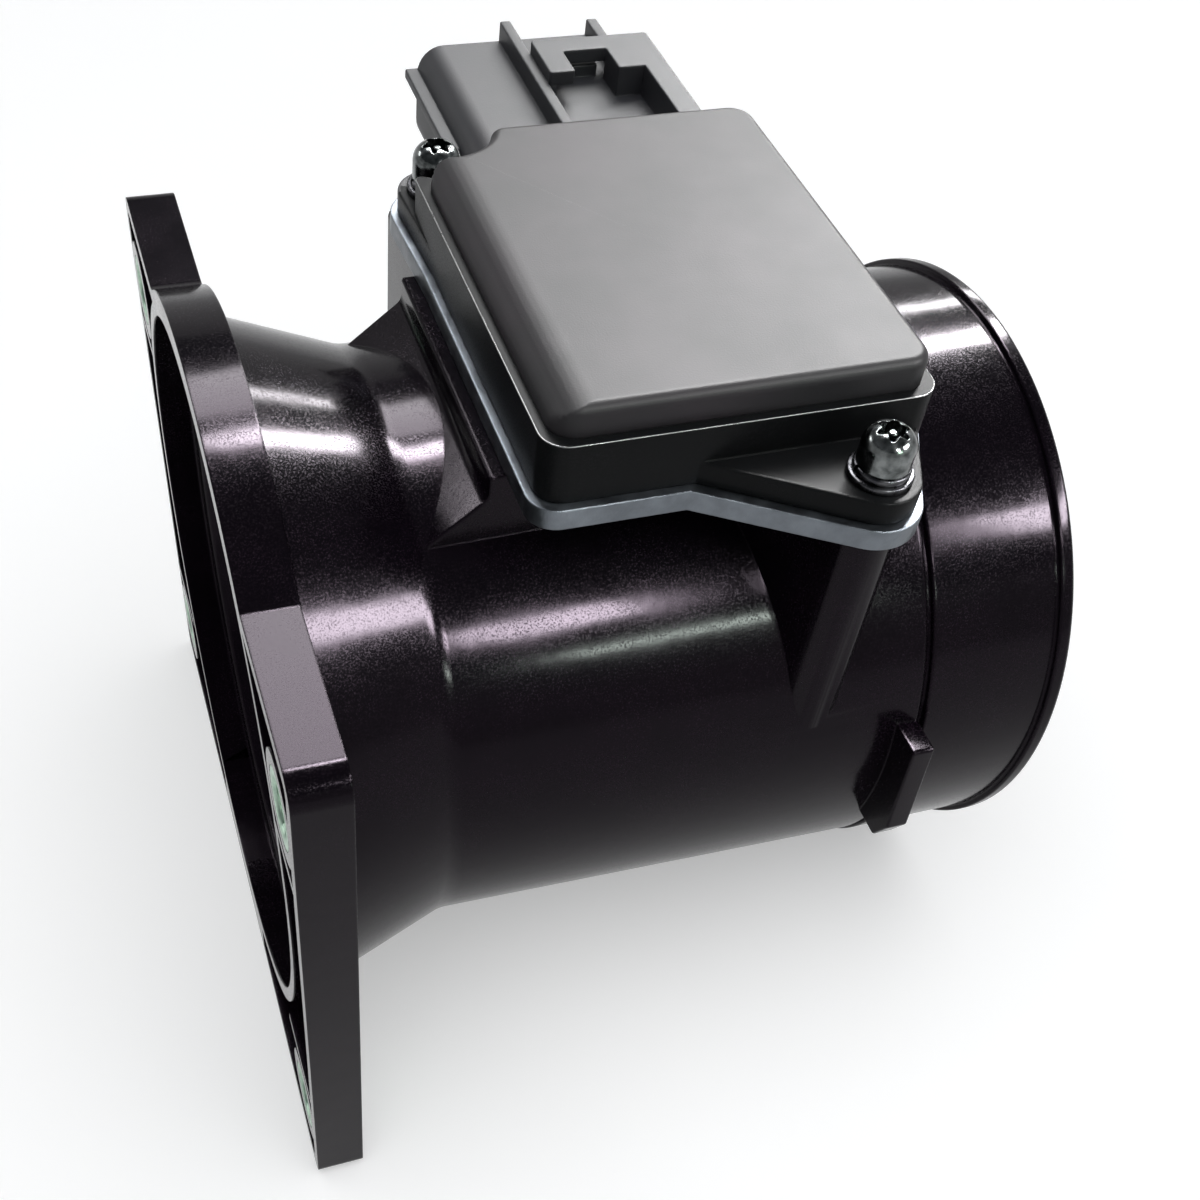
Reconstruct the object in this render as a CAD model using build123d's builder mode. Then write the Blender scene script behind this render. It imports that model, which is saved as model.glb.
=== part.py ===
"""Mass airflow sensor: a duct housing with a bolt-on sensor module.

Frame, in millimetres: X runs along the air duct from the intake face at X=0
to the outlet lip, Y points to the connector side, Z is up. The duct axis is
Y=0, Z=0.
"""
import os

from build123d import *

os.makedirs("parts", exist_ok=True)

# Duct
outlet_lip_r = 40.0
lip_step = 0.8
lip_width = 2.0
lip_chamfer = 0.5
duct_len = 101.4
wall = 2.3
collar_rise = 1.2
barrel_r = outlet_lip_r - lip_step
bore_step = 1.5
bore_r = barrel_r - wall - bore_step
duct_r_in = bore_r + wall
duct_r_out = duct_r_in + collar_rise
outlet_relief = 1.3
outlet_run = 14.2
throat_start = 21.5
mouth_len = 4.5
mouth_step = 2.1
bell_flare = 8.2
bell_r = bore_r + bell_flare
cone_trim = 0.4
cone_r = bell_r - cone_trim
groove_back = 20.2
groove_x = duct_len - groove_back
groove_width = 1.2
groove_depth = 0.8

# Intake flange, set out from the bell mouth
rim_t = 3.0
rim_r = bell_r + rim_t
rim_fillet = 3.5
ring_wall = 1.8
flange_side = 5.4
flange_rise = 3.6
flange_w = 2 * (rim_r + flange_side)
flange_h = 2 * (rim_r - flange_rise)
flange_t = 6.25
flange_drop = 6.0
flange_corner_r = 2.2
pocket_rib = 1.4
bottom_web = 30.0
border = 2.0
pocket_depth = 3.8
bolt_side = 7.0
bolt_rise = 11.0
bolt_y = flange_w / 2 - bolt_side
bolt_z = flange_h / 2 - bolt_rise
bush_r = 4.55
bush_bore_r = 3.3
bush_chamfer = 0.4
bush_boss_r = 6.3

# Sensor module footprint and height
plate_setback = 9.2
plate_len = 46.3
plate_x0 = throat_start + plate_setback
plate_x1 = plate_x0 + plate_len
plate_y = 28.4
plate_corner_r = 3.4
wall_corner_r = 3.0
plate_rise = 6.5
plate_t = 2.7
plate_top = duct_r_in + plate_rise
plate_under = plate_top - plate_t
ear_r = 5.6
near_screw_in = 10.2
near_screw_out = 4.9
near_screw = (plate_x1 - near_screw_in, -plate_y - near_screw_out)
far_screw_in = 4.9
far_screw_back = 1.0
far_screw = (plate_x0 + far_screw_in, plate_y - far_screw_back)
near_ear_run = 18.8
near_ear_start = near_screw[0] - near_ear_run
near_ear_rise = 4.0
far_ear_run = 14.0
far_ear_trim = 6.0

# Moulded case and lid
case_inset = 0.9
case_ear_t = 3.0
case_h = 7.5
case_wall = 1.9
lid_h = 3.7
lid_inset = 1.1
lid_round = 1.6
notch_r = 5.2
lid_plug_h = 1.6
lid_plug_t = 1.4
lid_hollow = 1.6
bead_gap = 0.5

# Connector
shell_in = 10.3
shell_w = 29.0
shell_h = 13.3
shell_rise = 5.9
shell_len = 28.6
shell_x0 = plate_x0 + shell_in
shell_x1 = shell_x0 + shell_w
shell_top = plate_top + shell_rise
shell_bottom = shell_top - shell_h
shell_end = plate_y + shell_len
shell_wall = 1.7
shell_corner_r = 3.6
socket_depth = 18.5
shell_gap = 0.4
fin_x = shell_x0 + 11.4
fin_t = 1.5
fin_h = 2.5
low_fin_x = shell_x1 - 5.3
low_fin_h = 2.0
low_fin_y = shell_end - 13.0
side_fin_out = 1.6
side_fin_t = 1.3
side_fin_drop = 2.9
side_fin_y = shell_end - 21.0
bridge_t = 1.8
bridge_gap = 2.1
bridge_y0 = shell_end - 17.0
bridge_y1 = shell_end - 8.5
bridge_leg_w = 3.4
bridge_block_w = 3.8
bridge_wall_t = 1.1
bridge_rib_w = 3.2
notch_y = shell_end - 11.9
catch_w = 4.5
catch_h = 1.5
catch_len = 4.8
pin_count = 5
pin_pitch = 4.6
pin_w = 2.2
pin_t = 0.8
pin_in_y = plate_y - 11.9
pin_out_y = shell_end - 6.0
pin_rise = 2.5
pin_high = plate_top + pin_rise
pin_bend_y = plate_y + 1.2
pin_bend_run = 3.4
pin_bend_shift = 0.4

# Pad and bosses under the plate
pad_x0 = plate_x0 - 1.7
pad_x1 = plate_x1 - 1.5
pad_half = duct_r_in / 2
ramp_run = 7.1
ramp_rise = 5.8
boss_r = 3.9
web_back_x0 = near_screw[0] - 9.0
web_back_x1 = near_screw[0] + 0.6
pillar_x0 = plate_x0 + 0.3
pillar_w = 9.5
pillar_y = plate_y + 5.3

# Locating foot low on the near side
foot_x = groove_x - 2.8
foot_t = 3.0
foot_out = barrel_r + 3.6
foot_lean = 1.0
foot_top = 8.7
foot_bottom = -9.6
foot_cut = 4.0

# Bypass duct in the air stream
window_in = 11.3
window_len = 22.0
window_x0 = plate_x0 + window_in
window_x1 = window_x0 + window_len
window_half = 9.0
seal_w = 2.0
seal_gap = 0.3
seal_depth = 1.6
duct_clear = 0.5
duct_bottom = -9.5
duct_corner_r = 4.5
passage_r = 5.6
neck_half = 5.5
neck_x0 = window_x0 + 4.5
neck_x1 = window_x1 - 4.5
neck_corner_r = 1.5

# Screws, washers and inserts
screw_r = 1.75
screw_clear_r = 2.05
head_r = 3.1
head_h = 3.9
head_round = 1.3
recess_r = 1.25
recess_lobe_r = 0.42
recess_pin_r = 0.5
recess_depth = 2.0
washer_r = 3.6
washer_t = 0.8
spring_r = 3.15
spring_t = 0.8
insert_r = 2.6
insert_len = 9.0

# Board, blades and sensing parts
board_in = 6.3
board_out = 6.0
board_near = 6.4
board_far = 10.4
board_x0 = plate_x0 + board_in
board_x1 = plate_x1 - board_out
board_y0 = board_near - plate_y
board_y1 = plate_y - board_far
board_t = 0.8
wire_r = 0.25
prong_r = 0.45
prong_y = 2.6
prong_tip = -0.8
bead_r = 1.4
lead_r = 0.3
lead_y = 1.2
hot_x = window_x0 + 8.5
cold_x = window_x0 + 14.5
lead_x = window_x0 + 5.6
bead_z = 15.0
bead_bay_half = 3.4
bead_bay_z0 = 10.5
bead_bay_z1 = 24.0
element_len = 2.4

flange_mid = -flange_drop
lip_start = duct_len - lip_width
case_top = plate_top + case_h
lid_top = case_top + lid_h
ear_top = plate_top + case_ear_t
wide = plate_x1 - plate_x0
case_far = plate_y - case_inset
mid_x = (plate_x0 + plate_x1) / 2
bolts = [
    ("near_top", -bolt_y, flange_mid + bolt_z),
    ("near_bottom", -bolt_y, flange_mid - bolt_z),
    ("far_top", bolt_y, flange_mid + bolt_z),
    ("far_bottom", bolt_y, flange_mid - bolt_z),
]


def module_outline(inset):
    """Draw the plate outline with its two ears, pulled in by an inset."""
    with Locations((mid_x, 0)):
        RectangleRounded(wide - 2 * inset, 2 * (plate_y - inset), plate_corner_r)
    with BuildLine() as near_ear:
        CenterArc(near_screw, ear_r - inset, 0, 360)
        Line((near_ear_start + inset, -plate_y + inset), (plate_x1 - inset, -plate_y + near_ear_rise))
    make_hull(near_ear.edges())
    with BuildLine() as far_ear:
        CenterArc(far_screw, ear_r - inset, 0, 360)
        ear_end = (far_screw[0] + ear_r - inset, plate_y - far_ear_trim)
        Line((plate_x0 + inset, plate_y - far_ear_run), ear_end)
    make_hull(far_ear.edges())


def wall_outline(inset):
    """Draw the raised wall outline, with the far screw's notch cut out."""
    side = case_inset + inset
    with Locations((mid_x, 0)):
        RectangleRounded(wide - 2 * side, 2 * (plate_y - side), wall_corner_r)
    with Locations(far_screw):
        Circle(notch_r + inset, mode=Mode.SUBTRACT)


def seal_ring(gap):
    """Draw the seal's groove around the window, or the seal with a side gap."""
    inner = 1 + gap
    outer = inner + seal_w - 2 * gap
    with Locations(((window_x0 + window_x1) / 2, 0)):
        RectangleRounded(window_x1 - window_x0 + 2 * outer, 2 * (window_half + outer), 1 + outer)
        RectangleRounded(
            window_x1 - window_x0 + 2 * inner, 2 * (window_half + inner), 1 + inner, mode=Mode.SUBTRACT
        )


def box(x0, x1, y0, y1, z0, z1, mode=Mode.ADD):
    """Add or cut a block given by its six limits."""
    with Locations(((x0 + x1) / 2, (y0 + y1) / 2, (z0 + z1) / 2)):
        Box(x1 - x0, y1 - y0, z1 - z0, mode=mode)


def post(spot, radius, z0, z1, mode=Mode.ADD):
    """Add or cut an upright cylinder between two heights."""
    with Locations((spot[0], spot[1], (z0 + z1) / 2)):
        Cylinder(radius, z1 - z0, mode=mode)


# Housing: flange, duct, pad and bosses are one moulding
with BuildPart() as housing:
    # duct body, solid for now
    with BuildSketch(Plane.XZ):
        with BuildLine():
            Polyline(
                (0, 0),
                (0, rim_r - 1),
                (flange_t, rim_r - 1),
                (flange_t, cone_r),
                (throat_start, duct_r_in),
                (groove_x, duct_r_out),
                (groove_x, duct_r_out - groove_depth),
                (groove_x + groove_width, duct_r_out - groove_depth),
                (groove_x + groove_width, barrel_r),
                (lip_start, barrel_r),
                (lip_start, outlet_lip_r),
                (duct_len - lip_chamfer, outlet_lip_r),
                (duct_len, outlet_lip_r - lip_chamfer),
                (duct_len, 0),
                close=True,
            )
        make_face()
    revolve(axis=Axis.X)

    # flange plate with the round rim standing above its top edge
    with BuildSketch(Plane.YZ):
        with Locations((0, flange_mid)):
            RectangleRounded(flange_w, flange_h, flange_corner_r)
        Circle(rim_r)
    extrude(amount=flange_t)
    top_z = flange_mid + flange_h / 2
    rim_meet = Vector(flange_t / 2, (rim_r**2 - top_z**2) ** 0.5, top_z)
    fillet(housing.edges().filter_by(Axis.X).sort_by_distance(rim_meet)[0], rim_fillet)

    # sensor pad across the top of the duct, with a ramp up to its front
    ramp_x = pad_x0 - ramp_run
    ramp_z = (duct_r_in**2 - pad_half**2) ** 0.5
    with BuildSketch(Plane.XZ.offset(-pad_half)):
        with BuildLine():
            Polyline(
                (ramp_x, ramp_z - 2),
                (ramp_x, ramp_z),
                (pad_x0, ramp_z + ramp_rise),
                (pad_x0, plate_under),
                (pad_x1, plate_under),
                (pad_x1, ramp_z - 2),
                close=True,
            )
        make_face()
    extrude(amount=2 * pad_half)

    # near boss with the web that runs into it, and the far pillar
    post(near_screw, boss_r, 0, plate_under)
    with BuildSketch(Plane.XY.offset(plate_under)):
        with BuildLine() as web:
            CenterArc(near_screw, boss_r, 0, 360)
            Line((web_back_x0, -pad_half), (web_back_x1, -pad_half))
        make_hull(web.edges())
    extrude(amount=-plate_under)
    box(pillar_x0, pillar_x0 + pillar_w, pad_half / 2, pillar_y, 0, plate_under)

    # locating foot low on the near side of the barrel
    foot_in = -duct_r_in + 3
    with BuildSketch(Plane.YZ.offset(foot_x)):
        with BuildLine():
            Polyline(
                (foot_in, foot_top),
                (-foot_out, foot_top),
                (-foot_out - foot_lean, foot_bottom + foot_cut),
                (-foot_out + foot_lean, foot_bottom),
                (foot_in, foot_bottom),
                close=True,
            )
        make_face()
    extrude(amount=foot_t)

    # airway: bell mouth, straight bore and a little relief at the outlet
    with BuildSketch(Plane.XZ):
        with BuildLine():
            Polyline(
                (0, 0),
                (0, bell_r),
                (mouth_len, bell_r),
                (mouth_len, bell_r - mouth_step),
                (throat_start, bore_r),
                (duct_len - outlet_run, bore_r),
                (duct_len, bore_r + outlet_relief),
                (duct_len, 0),
                close=True,
            )
        make_face()
    revolve(axis=Axis.X, mode=Mode.SUBTRACT)

    # window for the bypass duct, with a step for the seal
    box(window_x0, window_x1, -window_half, window_half, 0, plate_under, Mode.SUBTRACT)
    with BuildSketch(Plane.XY.offset(plate_under)):
        seal_ring(0)
    extrude(amount=-seal_depth, mode=Mode.SUBTRACT)

    # hollow front of the flange between ring, border and bolt bosses
    with BuildSketch(Plane.YZ):
        with Locations((0, flange_mid)):
            Rectangle(flange_w - 2 * border, flange_h - 2 * border)
            Rectangle(bottom_web, flange_h, mode=Mode.SUBTRACT)
        Circle(bell_r + ring_wall, mode=Mode.SUBTRACT)
        with Locations([(y, z) for _, y, z in bolts]):
            Circle(bush_boss_r, mode=Mode.SUBTRACT)
        for _, y, z in bolts:
            side = 1 if z < 0 else -1
            with Locations((y, z + side * (bush_boss_r + pocket_rib))):
                Rectangle(flange_w - 2 * bolt_y, pocket_rib, mode=Mode.SUBTRACT)
    extrude(amount=pocket_depth, mode=Mode.SUBTRACT)
    with BuildSketch(Plane.YZ):
        with Locations([(y, z) for _, y, z in bolts]):
            Circle(bush_r)
    extrude(amount=flange_t, mode=Mode.SUBTRACT)

    # pockets for the two threaded inserts
    post(near_screw, insert_r, plate_under - insert_len, plate_under, Mode.SUBTRACT)
    post(far_screw, insert_r, plate_under - insert_len, plate_under, Mode.SUBTRACT)
housing.part.label = "housing"
export_step(housing.part, "parts/housing.step")

# Metal bushes pressed into the flange
for name, y, z in bolts:
    with BuildPart() as bush:
        with BuildSketch(Plane.YZ):
            with Locations((y, z)):
                Circle(bush_r)
                Circle(bush_bore_r, mode=Mode.SUBTRACT)
        extrude(amount=flange_t)
        chamfer(bush.edges().filter_by(GeomType.CIRCLE).group_by(SortBy.RADIUS)[0], bush_chamfer)
    bush.part.label = "flange_bush_" + name
    export_step(bush.part, "parts/flange_bush_" + name + ".step")

# Threaded inserts in the boss and the pillar
for name, spot in (("near", near_screw), ("far", far_screw)):
    with BuildPart() as insert:
        post(spot, insert_r, plate_under - insert_len, plate_under)
        post(spot, screw_r, plate_under - insert_len, plate_under, Mode.SUBTRACT)
    insert.part.label = "thread_insert_" + name
    export_step(insert.part, "parts/thread_insert_" + name + ".step")

# Rubber seal in the step around the window
with BuildPart() as plate_seal:
    with BuildSketch(Plane.XY.offset(plate_under)):
        seal_ring(seal_gap)
    extrude(amount=-seal_depth)
plate_seal.part.label = "plate_seal"
export_step(plate_seal.part, "parts/plate_seal.step")

# Aluminium base plate
with BuildPart() as base_plate:
    with BuildSketch(Plane.XY.offset(plate_under)):
        module_outline(0)
        with Locations(near_screw, far_screw):
            Circle(screw_clear_r, mode=Mode.SUBTRACT)
        with Locations(((neck_x0 + neck_x1) / 2, 0)):
            RectangleRounded(neck_x1 - neck_x0, 2 * neck_half, neck_corner_r, mode=Mode.SUBTRACT)
    extrude(amount=plate_t)
base_plate.part.label = "base_plate"
export_step(base_plate.part, "parts/base_plate.step")

# Case: walls, ears and connector shell are one moulding
shell_mid_x = (shell_x0 + shell_x1) / 2
shell_mid_z = (shell_top + shell_bottom) / 2
pin_spots = [shell_mid_x + pin_pitch * (i - (pin_count - 1) / 2) for i in range(pin_count)]


def pin_profile():
    """Draw the side view of one bent connector blade."""
    low = shell_mid_z
    with BuildLine() as side:
        Polyline(
            (pin_in_y, pin_high - pin_t / 2),
            (pin_bend_y, pin_high - pin_t / 2),
            (pin_bend_y + pin_bend_run, low - pin_t / 2),
            (pin_out_y, low - pin_t / 2),
            (pin_out_y, low + pin_t / 2),
            (pin_bend_y + pin_bend_run + pin_bend_shift, low + pin_t / 2),
            (pin_bend_y + pin_bend_shift, pin_high + pin_t / 2),
            (pin_in_y, pin_high + pin_t / 2),
            close=True,
        )
    make_face(side.edges())


def shell_face(shrink):
    """Draw the connector's rounded outline looking along Y."""
    with Locations((shell_mid_x, shell_mid_z)):
        RectangleRounded(shell_w - 2 * shrink, shell_h - 2 * shrink, shell_corner_r - shrink)


with BuildPart() as module_case:
    with BuildSketch(Plane.XY.offset(plate_top)):
        module_outline(case_inset)
    extrude(amount=case_ear_t)
    with BuildSketch(Plane.XY.offset(plate_top)):
        wall_outline(0)
    extrude(amount=case_h)

    # connector shell, cut back where the plate passes under it
    with BuildSketch(Plane.XZ.offset(-shell_end)):
        shell_face(0)
    extrude(amount=shell_end - case_far + 1)
    box(plate_x0, plate_x1, pad_half, plate_y + shell_gap, 0, plate_top, Mode.SUBTRACT)
    post(far_screw, ear_r + shell_gap, 0, plate_top, Mode.SUBTRACT)

    # side fin and the two guide fins on top
    side_fin_z = shell_top - side_fin_drop
    box(shell_x0 - side_fin_out, shell_x0 + 1, side_fin_y, shell_end, side_fin_z - side_fin_t, side_fin_z)
    box(fin_x, fin_x + fin_t, case_far, shell_end, shell_top - 1, shell_top + fin_h)
    box(low_fin_x, low_fin_x + fin_t, low_fin_y, shell_end, shell_top - 1, shell_top + low_fin_h)

    # lock bridge: a plate on a wall, a block and a rib, notched at the front
    bridge_x0 = fin_x + fin_t
    bridge_z0 = shell_top + bridge_gap
    bridge_z1 = bridge_z0 + bridge_t
    rib_x0 = shell_x1 - bridge_rib_w
    block_x0 = rib_x0 - bridge_block_w + 0.2
    box(bridge_x0, shell_x1, bridge_y0, bridge_y1, bridge_z0, bridge_z1)
    box(bridge_x0 + bridge_leg_w, block_x0, 0, notch_y, bridge_z0, bridge_z1, Mode.SUBTRACT)
    box(rib_x0, shell_x1, case_far, bridge_y1, shell_top - 1, bridge_z1)
    box(block_x0, rib_x0 + 0.2, bridge_y0, notch_y, shell_top - 1, bridge_z1)
    box(bridge_x0, bridge_x0 + bridge_wall_t, bridge_y0, bridge_y1, shell_top - 1, bridge_z0)
    catch_x0 = (bridge_x0 + bridge_leg_w + block_x0 - catch_w) / 2
    with BuildSketch(Plane.YZ.offset(catch_x0)):
        with BuildLine():
            Polyline(
                (notch_y + 0.5, shell_top - 0.5),
                (notch_y + 0.5 + catch_len, shell_top - 0.5),
                (notch_y + 0.5 + catch_len, shell_top),
                (notch_y + 1.5, shell_top + catch_h),
                (notch_y + 0.5, shell_top + catch_h),
                close=True,
            )
        make_face()
    extrude(amount=catch_w)

    # hollow inside, socket, blade slots and screw holes
    with BuildSketch(Plane.XY.offset(plate_top)):
        wall_outline(case_wall)
    extrude(amount=case_h, mode=Mode.SUBTRACT)
    with BuildSketch(Plane.XZ.offset(-shell_end)):
        shell_face(shell_wall)
    extrude(amount=socket_depth, mode=Mode.SUBTRACT)
    for x in pin_spots:
        with BuildSketch(Plane.YZ.offset(x - pin_w / 2)):
            pin_profile()
        extrude(amount=pin_w, mode=Mode.SUBTRACT)
    post(near_screw, screw_clear_r, plate_top, case_top, Mode.SUBTRACT)
    post(far_screw, screw_clear_r, plate_top, case_top, Mode.SUBTRACT)
module_case.part.label = "module_case"
export_step(module_case.part, "parts/module_case.step")

# Connector blades
for i, x in enumerate(pin_spots):
    with BuildPart() as blade:
        with BuildSketch(Plane.YZ.offset(x - pin_w / 2)):
            pin_profile()
        extrude(amount=pin_w)
        chamfer(blade.edges().filter_by(Axis.X).group_by(Axis.Y)[-1], 0.25)
    blade.part.label = "terminal_%d" % (i + 1)
    export_step(blade.part, "parts/terminal_%d.step" % (i + 1))

# Lid: a slab with soft edges and a plug that drops inside the case wall
with BuildPart() as lid:
    with BuildSketch(Plane.XY.offset(case_top)):
        wall_outline(lid_inset)
    extrude(amount=lid_h)
    fillet(lid.faces().sort_by(Axis.Z)[-1].edges(), lid_round)
    with BuildSketch(Plane.XY.offset(case_top)):
        wall_outline(case_wall + bead_gap)
    extrude(amount=-lid_plug_h)
    with BuildSketch(Plane.XY.offset(case_top - lid_plug_h)):
        wall_outline(case_wall + bead_gap + lid_plug_t)
    extrude(amount=lid_plug_h + lid_hollow, mode=Mode.SUBTRACT)
lid.part.label = "lid"
export_step(lid.part, "parts/lid.step")

# Adhesive bead between the lid's plug and the case wall
with BuildPart() as lid_bead:
    with BuildSketch(Plane.XY.offset(case_top - lid_plug_h)):
        wall_outline(case_wall)
    extrude(amount=lid_plug_h)
    with BuildSketch(Plane.XY.offset(case_top - lid_plug_h)):
        wall_outline(case_wall + bead_gap)
    extrude(amount=lid_plug_h, mode=Mode.SUBTRACT)
lid_bead.part.label = "lid_bead"
export_step(lid_bead.part, "parts/lid_bead.step")

# Circuit board bonded to the plate, and what it carries
board_top = plate_top + board_t
with BuildPart() as circuit_board:
    box(board_x0, board_x1, board_y0, board_y1, plate_top, board_top)
circuit_board.part.label = "circuit_board"
export_step(circuit_board.part, "parts/circuit_board.step")

# name, place of the low corner on the board, size
chips = [
    ("signal_chip", (13.0, 16.0), (10.0, 10.0, 1.4)),
    ("driver_chip", (25.5, 6.0), (5.5, 5.5, 1.2)),
    ("capacitor_a", (3.0, 8.0), (3.2, 2.0, 1.6)),
    ("capacitor_b", (3.0, 14.0), (3.2, 2.0, 1.6)),
    ("trim_resistor", (7.0, 3.5), (6.0, 3.0, 0.7)),
]
for name, (run, rise), (long, deep, tall) in chips:
    x0 = board_x0 + run
    y0 = board_y0 + rise
    with BuildPart() as chip:
        box(x0, x0 + long, y0, y0 + deep, board_top, board_top + tall)
        chamfer(chip.faces().sort_by(Axis.Z)[-1].edges(), 0.2)
    chip.part.label = name
    export_step(chip.part, "parts/" + name + ".step")

# Bypass duct hanging from the plate into the air stream
duct_x0 = window_x0 + duct_clear
duct_x1 = window_x1 - duct_clear
duct_half = window_half - duct_clear
duct_mid = (duct_x0 + duct_x1) / 2
prong_spots = [(hot_x, -prong_y), (hot_x, prong_y), (cold_x, -prong_y), (cold_x, prong_y)]

with BuildPart() as bypass_duct:
    with BuildSketch(Plane.XY.offset(duct_bottom)):
        with Locations((duct_mid, 0)):
            RectangleRounded(duct_x1 - duct_x0, 2 * duct_half, duct_corner_r)
    extrude(amount=plate_under - duct_bottom)
    with BuildSketch(Plane.XY.offset(plate_under)):
        with Locations((duct_mid, 0)):
            RectangleRounded(neck_x1 - neck_x0, 2 * neck_half, neck_corner_r)
    extrude(amount=plate_t)
    with BuildSketch(Plane.YZ.offset(duct_x0)):
        Circle(passage_r)
    extrude(amount=duct_x1 - duct_x0, mode=Mode.SUBTRACT)
    box(duct_x0 - 1, lead_x + 2, -bead_bay_half, bead_bay_half, bead_bay_z0, bead_bay_z1, Mode.SUBTRACT)
    for spot in prong_spots:
        post(spot, prong_r, prong_tip, plate_top, Mode.SUBTRACT)
    for y in (-lead_y, lead_y):
        post((lead_x, y), lead_r, bead_z, plate_top, Mode.SUBTRACT)
bypass_duct.part.label = "bypass_duct"
export_step(bypass_duct.part, "parts/bypass_duct.step")

# Prongs, the hot and cold elements, and the air temperature bead
for i, spot in enumerate(prong_spots):
    with BuildPart() as prong:
        post(spot, prong_r, prong_tip, plate_top)
        with Locations((spot[0], 0, 0)):
            Cylinder(wire_r, 2 * prong_y, rotation=(90, 0, 0), mode=Mode.SUBTRACT)
    prong.part.label = "prong_%d" % (i + 1)
    export_step(prong.part, "parts/prong_%d.step" % (i + 1))

for name, x in (("hot_element", hot_x), ("cold_element", cold_x)):
    with BuildPart() as element:
        with Locations((x, 0, 0)):
            Cylinder(wire_r, 2 * prong_y, rotation=(90, 0, 0))
            Cylinder(2 * wire_r, element_len, rotation=(90, 0, 0))
    element.part.label = name
    export_step(element.part, "parts/" + name + ".step")

with BuildPart() as temp_bead:
    with Locations((lead_x, 0, bead_z)):
        Sphere(bead_r)
    for y in (-lead_y, lead_y):
        post((lead_x, y), lead_r, bead_z, plate_top, Mode.SUBTRACT)
temp_bead.part.label = "temp_bead"
export_step(temp_bead.part, "parts/temp_bead.step")

for name, y in (("a", -lead_y), ("b", lead_y)):
    with BuildPart() as lead:
        post((lead_x, y), lead_r, bead_z, plate_top)
    lead.part.label = "bead_lead_" + name
    export_step(lead.part, "parts/bead_lead_" + name + ".step")

# Screws, each on a plain washer and a spring washer
spring_base = ear_top + washer_t
head_base = spring_base + spring_t
for name, spot in (("near", near_screw), ("far", far_screw)):
    with BuildPart() as washer:
        post(spot, washer_r, ear_top, spring_base)
        post(spot, screw_r, ear_top, spring_base, Mode.SUBTRACT)
    washer.part.label = "washer_" + name
    export_step(washer.part, "parts/washer_" + name + ".step")

    with BuildPart() as spring:
        post(spot, spring_r, spring_base, head_base)
        post(spot, screw_r, spring_base, head_base, Mode.SUBTRACT)
    spring.part.label = "spring_washer_" + name
    export_step(spring.part, "parts/spring_washer_" + name + ".step")

    with BuildPart() as screw:
        post(spot, head_r, head_base, head_base + head_h)
        fillet(screw.edges().filter_by(GeomType.CIRCLE).sort_by(Axis.Z)[-1], head_round)
        post(spot, screw_r, plate_under - insert_len + 1, head_base)
        with BuildSketch(Plane.XY.offset(head_base + head_h)):
            with Locations(spot):
                Circle(recess_r)
                with PolarLocations(recess_r, 6):
                    Circle(recess_lobe_r)
                Circle(recess_pin_r, mode=Mode.SUBTRACT)
        extrude(amount=-recess_depth, mode=Mode.SUBTRACT)
    screw.part.label = "screw_" + name
    export_step(screw.part, "parts/screw_" + name + ".step")
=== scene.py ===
import logging
import math
from dataclasses import dataclass, field
from enum import Enum
from typing import Any, Callable, Iterable, Sequence

import bmesh
import bpy
from mathutils import Matrix, Vector


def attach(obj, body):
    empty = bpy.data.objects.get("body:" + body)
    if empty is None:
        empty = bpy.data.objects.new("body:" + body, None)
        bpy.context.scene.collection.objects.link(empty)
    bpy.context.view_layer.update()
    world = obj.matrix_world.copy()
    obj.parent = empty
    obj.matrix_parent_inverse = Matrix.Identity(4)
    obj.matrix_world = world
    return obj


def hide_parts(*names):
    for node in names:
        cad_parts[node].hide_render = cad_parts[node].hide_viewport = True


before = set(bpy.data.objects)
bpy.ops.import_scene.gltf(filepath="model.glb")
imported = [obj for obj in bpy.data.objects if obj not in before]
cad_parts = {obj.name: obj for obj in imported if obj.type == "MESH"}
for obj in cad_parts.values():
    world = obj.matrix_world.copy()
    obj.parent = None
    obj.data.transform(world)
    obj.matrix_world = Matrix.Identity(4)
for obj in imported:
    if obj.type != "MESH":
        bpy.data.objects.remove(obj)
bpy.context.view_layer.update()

log = logging.getLogger("airflow_sensor")

MM = 0.001
PAST = 1.0  # how far a cut runs past what it cuts
SHARP = 32.0  # the angle from which an edge is shaded sharp
BODY = "root"
Pair = tuple[float, float]
Triple = tuple[float, float, float]
Colour = tuple[float, float, float]


class Along(Enum):
    """The axis that an outline is pushed along, with the order of the other two."""

    X = (1, 2, 0)
    Y = (0, 2, 1)
    Z = (0, 1, 2)


def arc(centre: Pair, radius: float, start: float, end: float, steps: int) -> list[Pair]:
    """Return points on an arc.

    Args:
        centre: Centre of the arc.
        radius: Radius of the arc.
        start: First angle in degrees.
        end: Last angle in degrees; the arc turns straight from one to the other.
        steps: Number of chords.

    Returns:
        The points, both ends included.
    """
    points = []
    for i in range(steps + 1):
        angle = math.radians(start + (end - start) * i / steps)
        points.append((centre[0] + radius * math.cos(angle), centre[1] + radius * math.sin(angle)))
    return points


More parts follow.
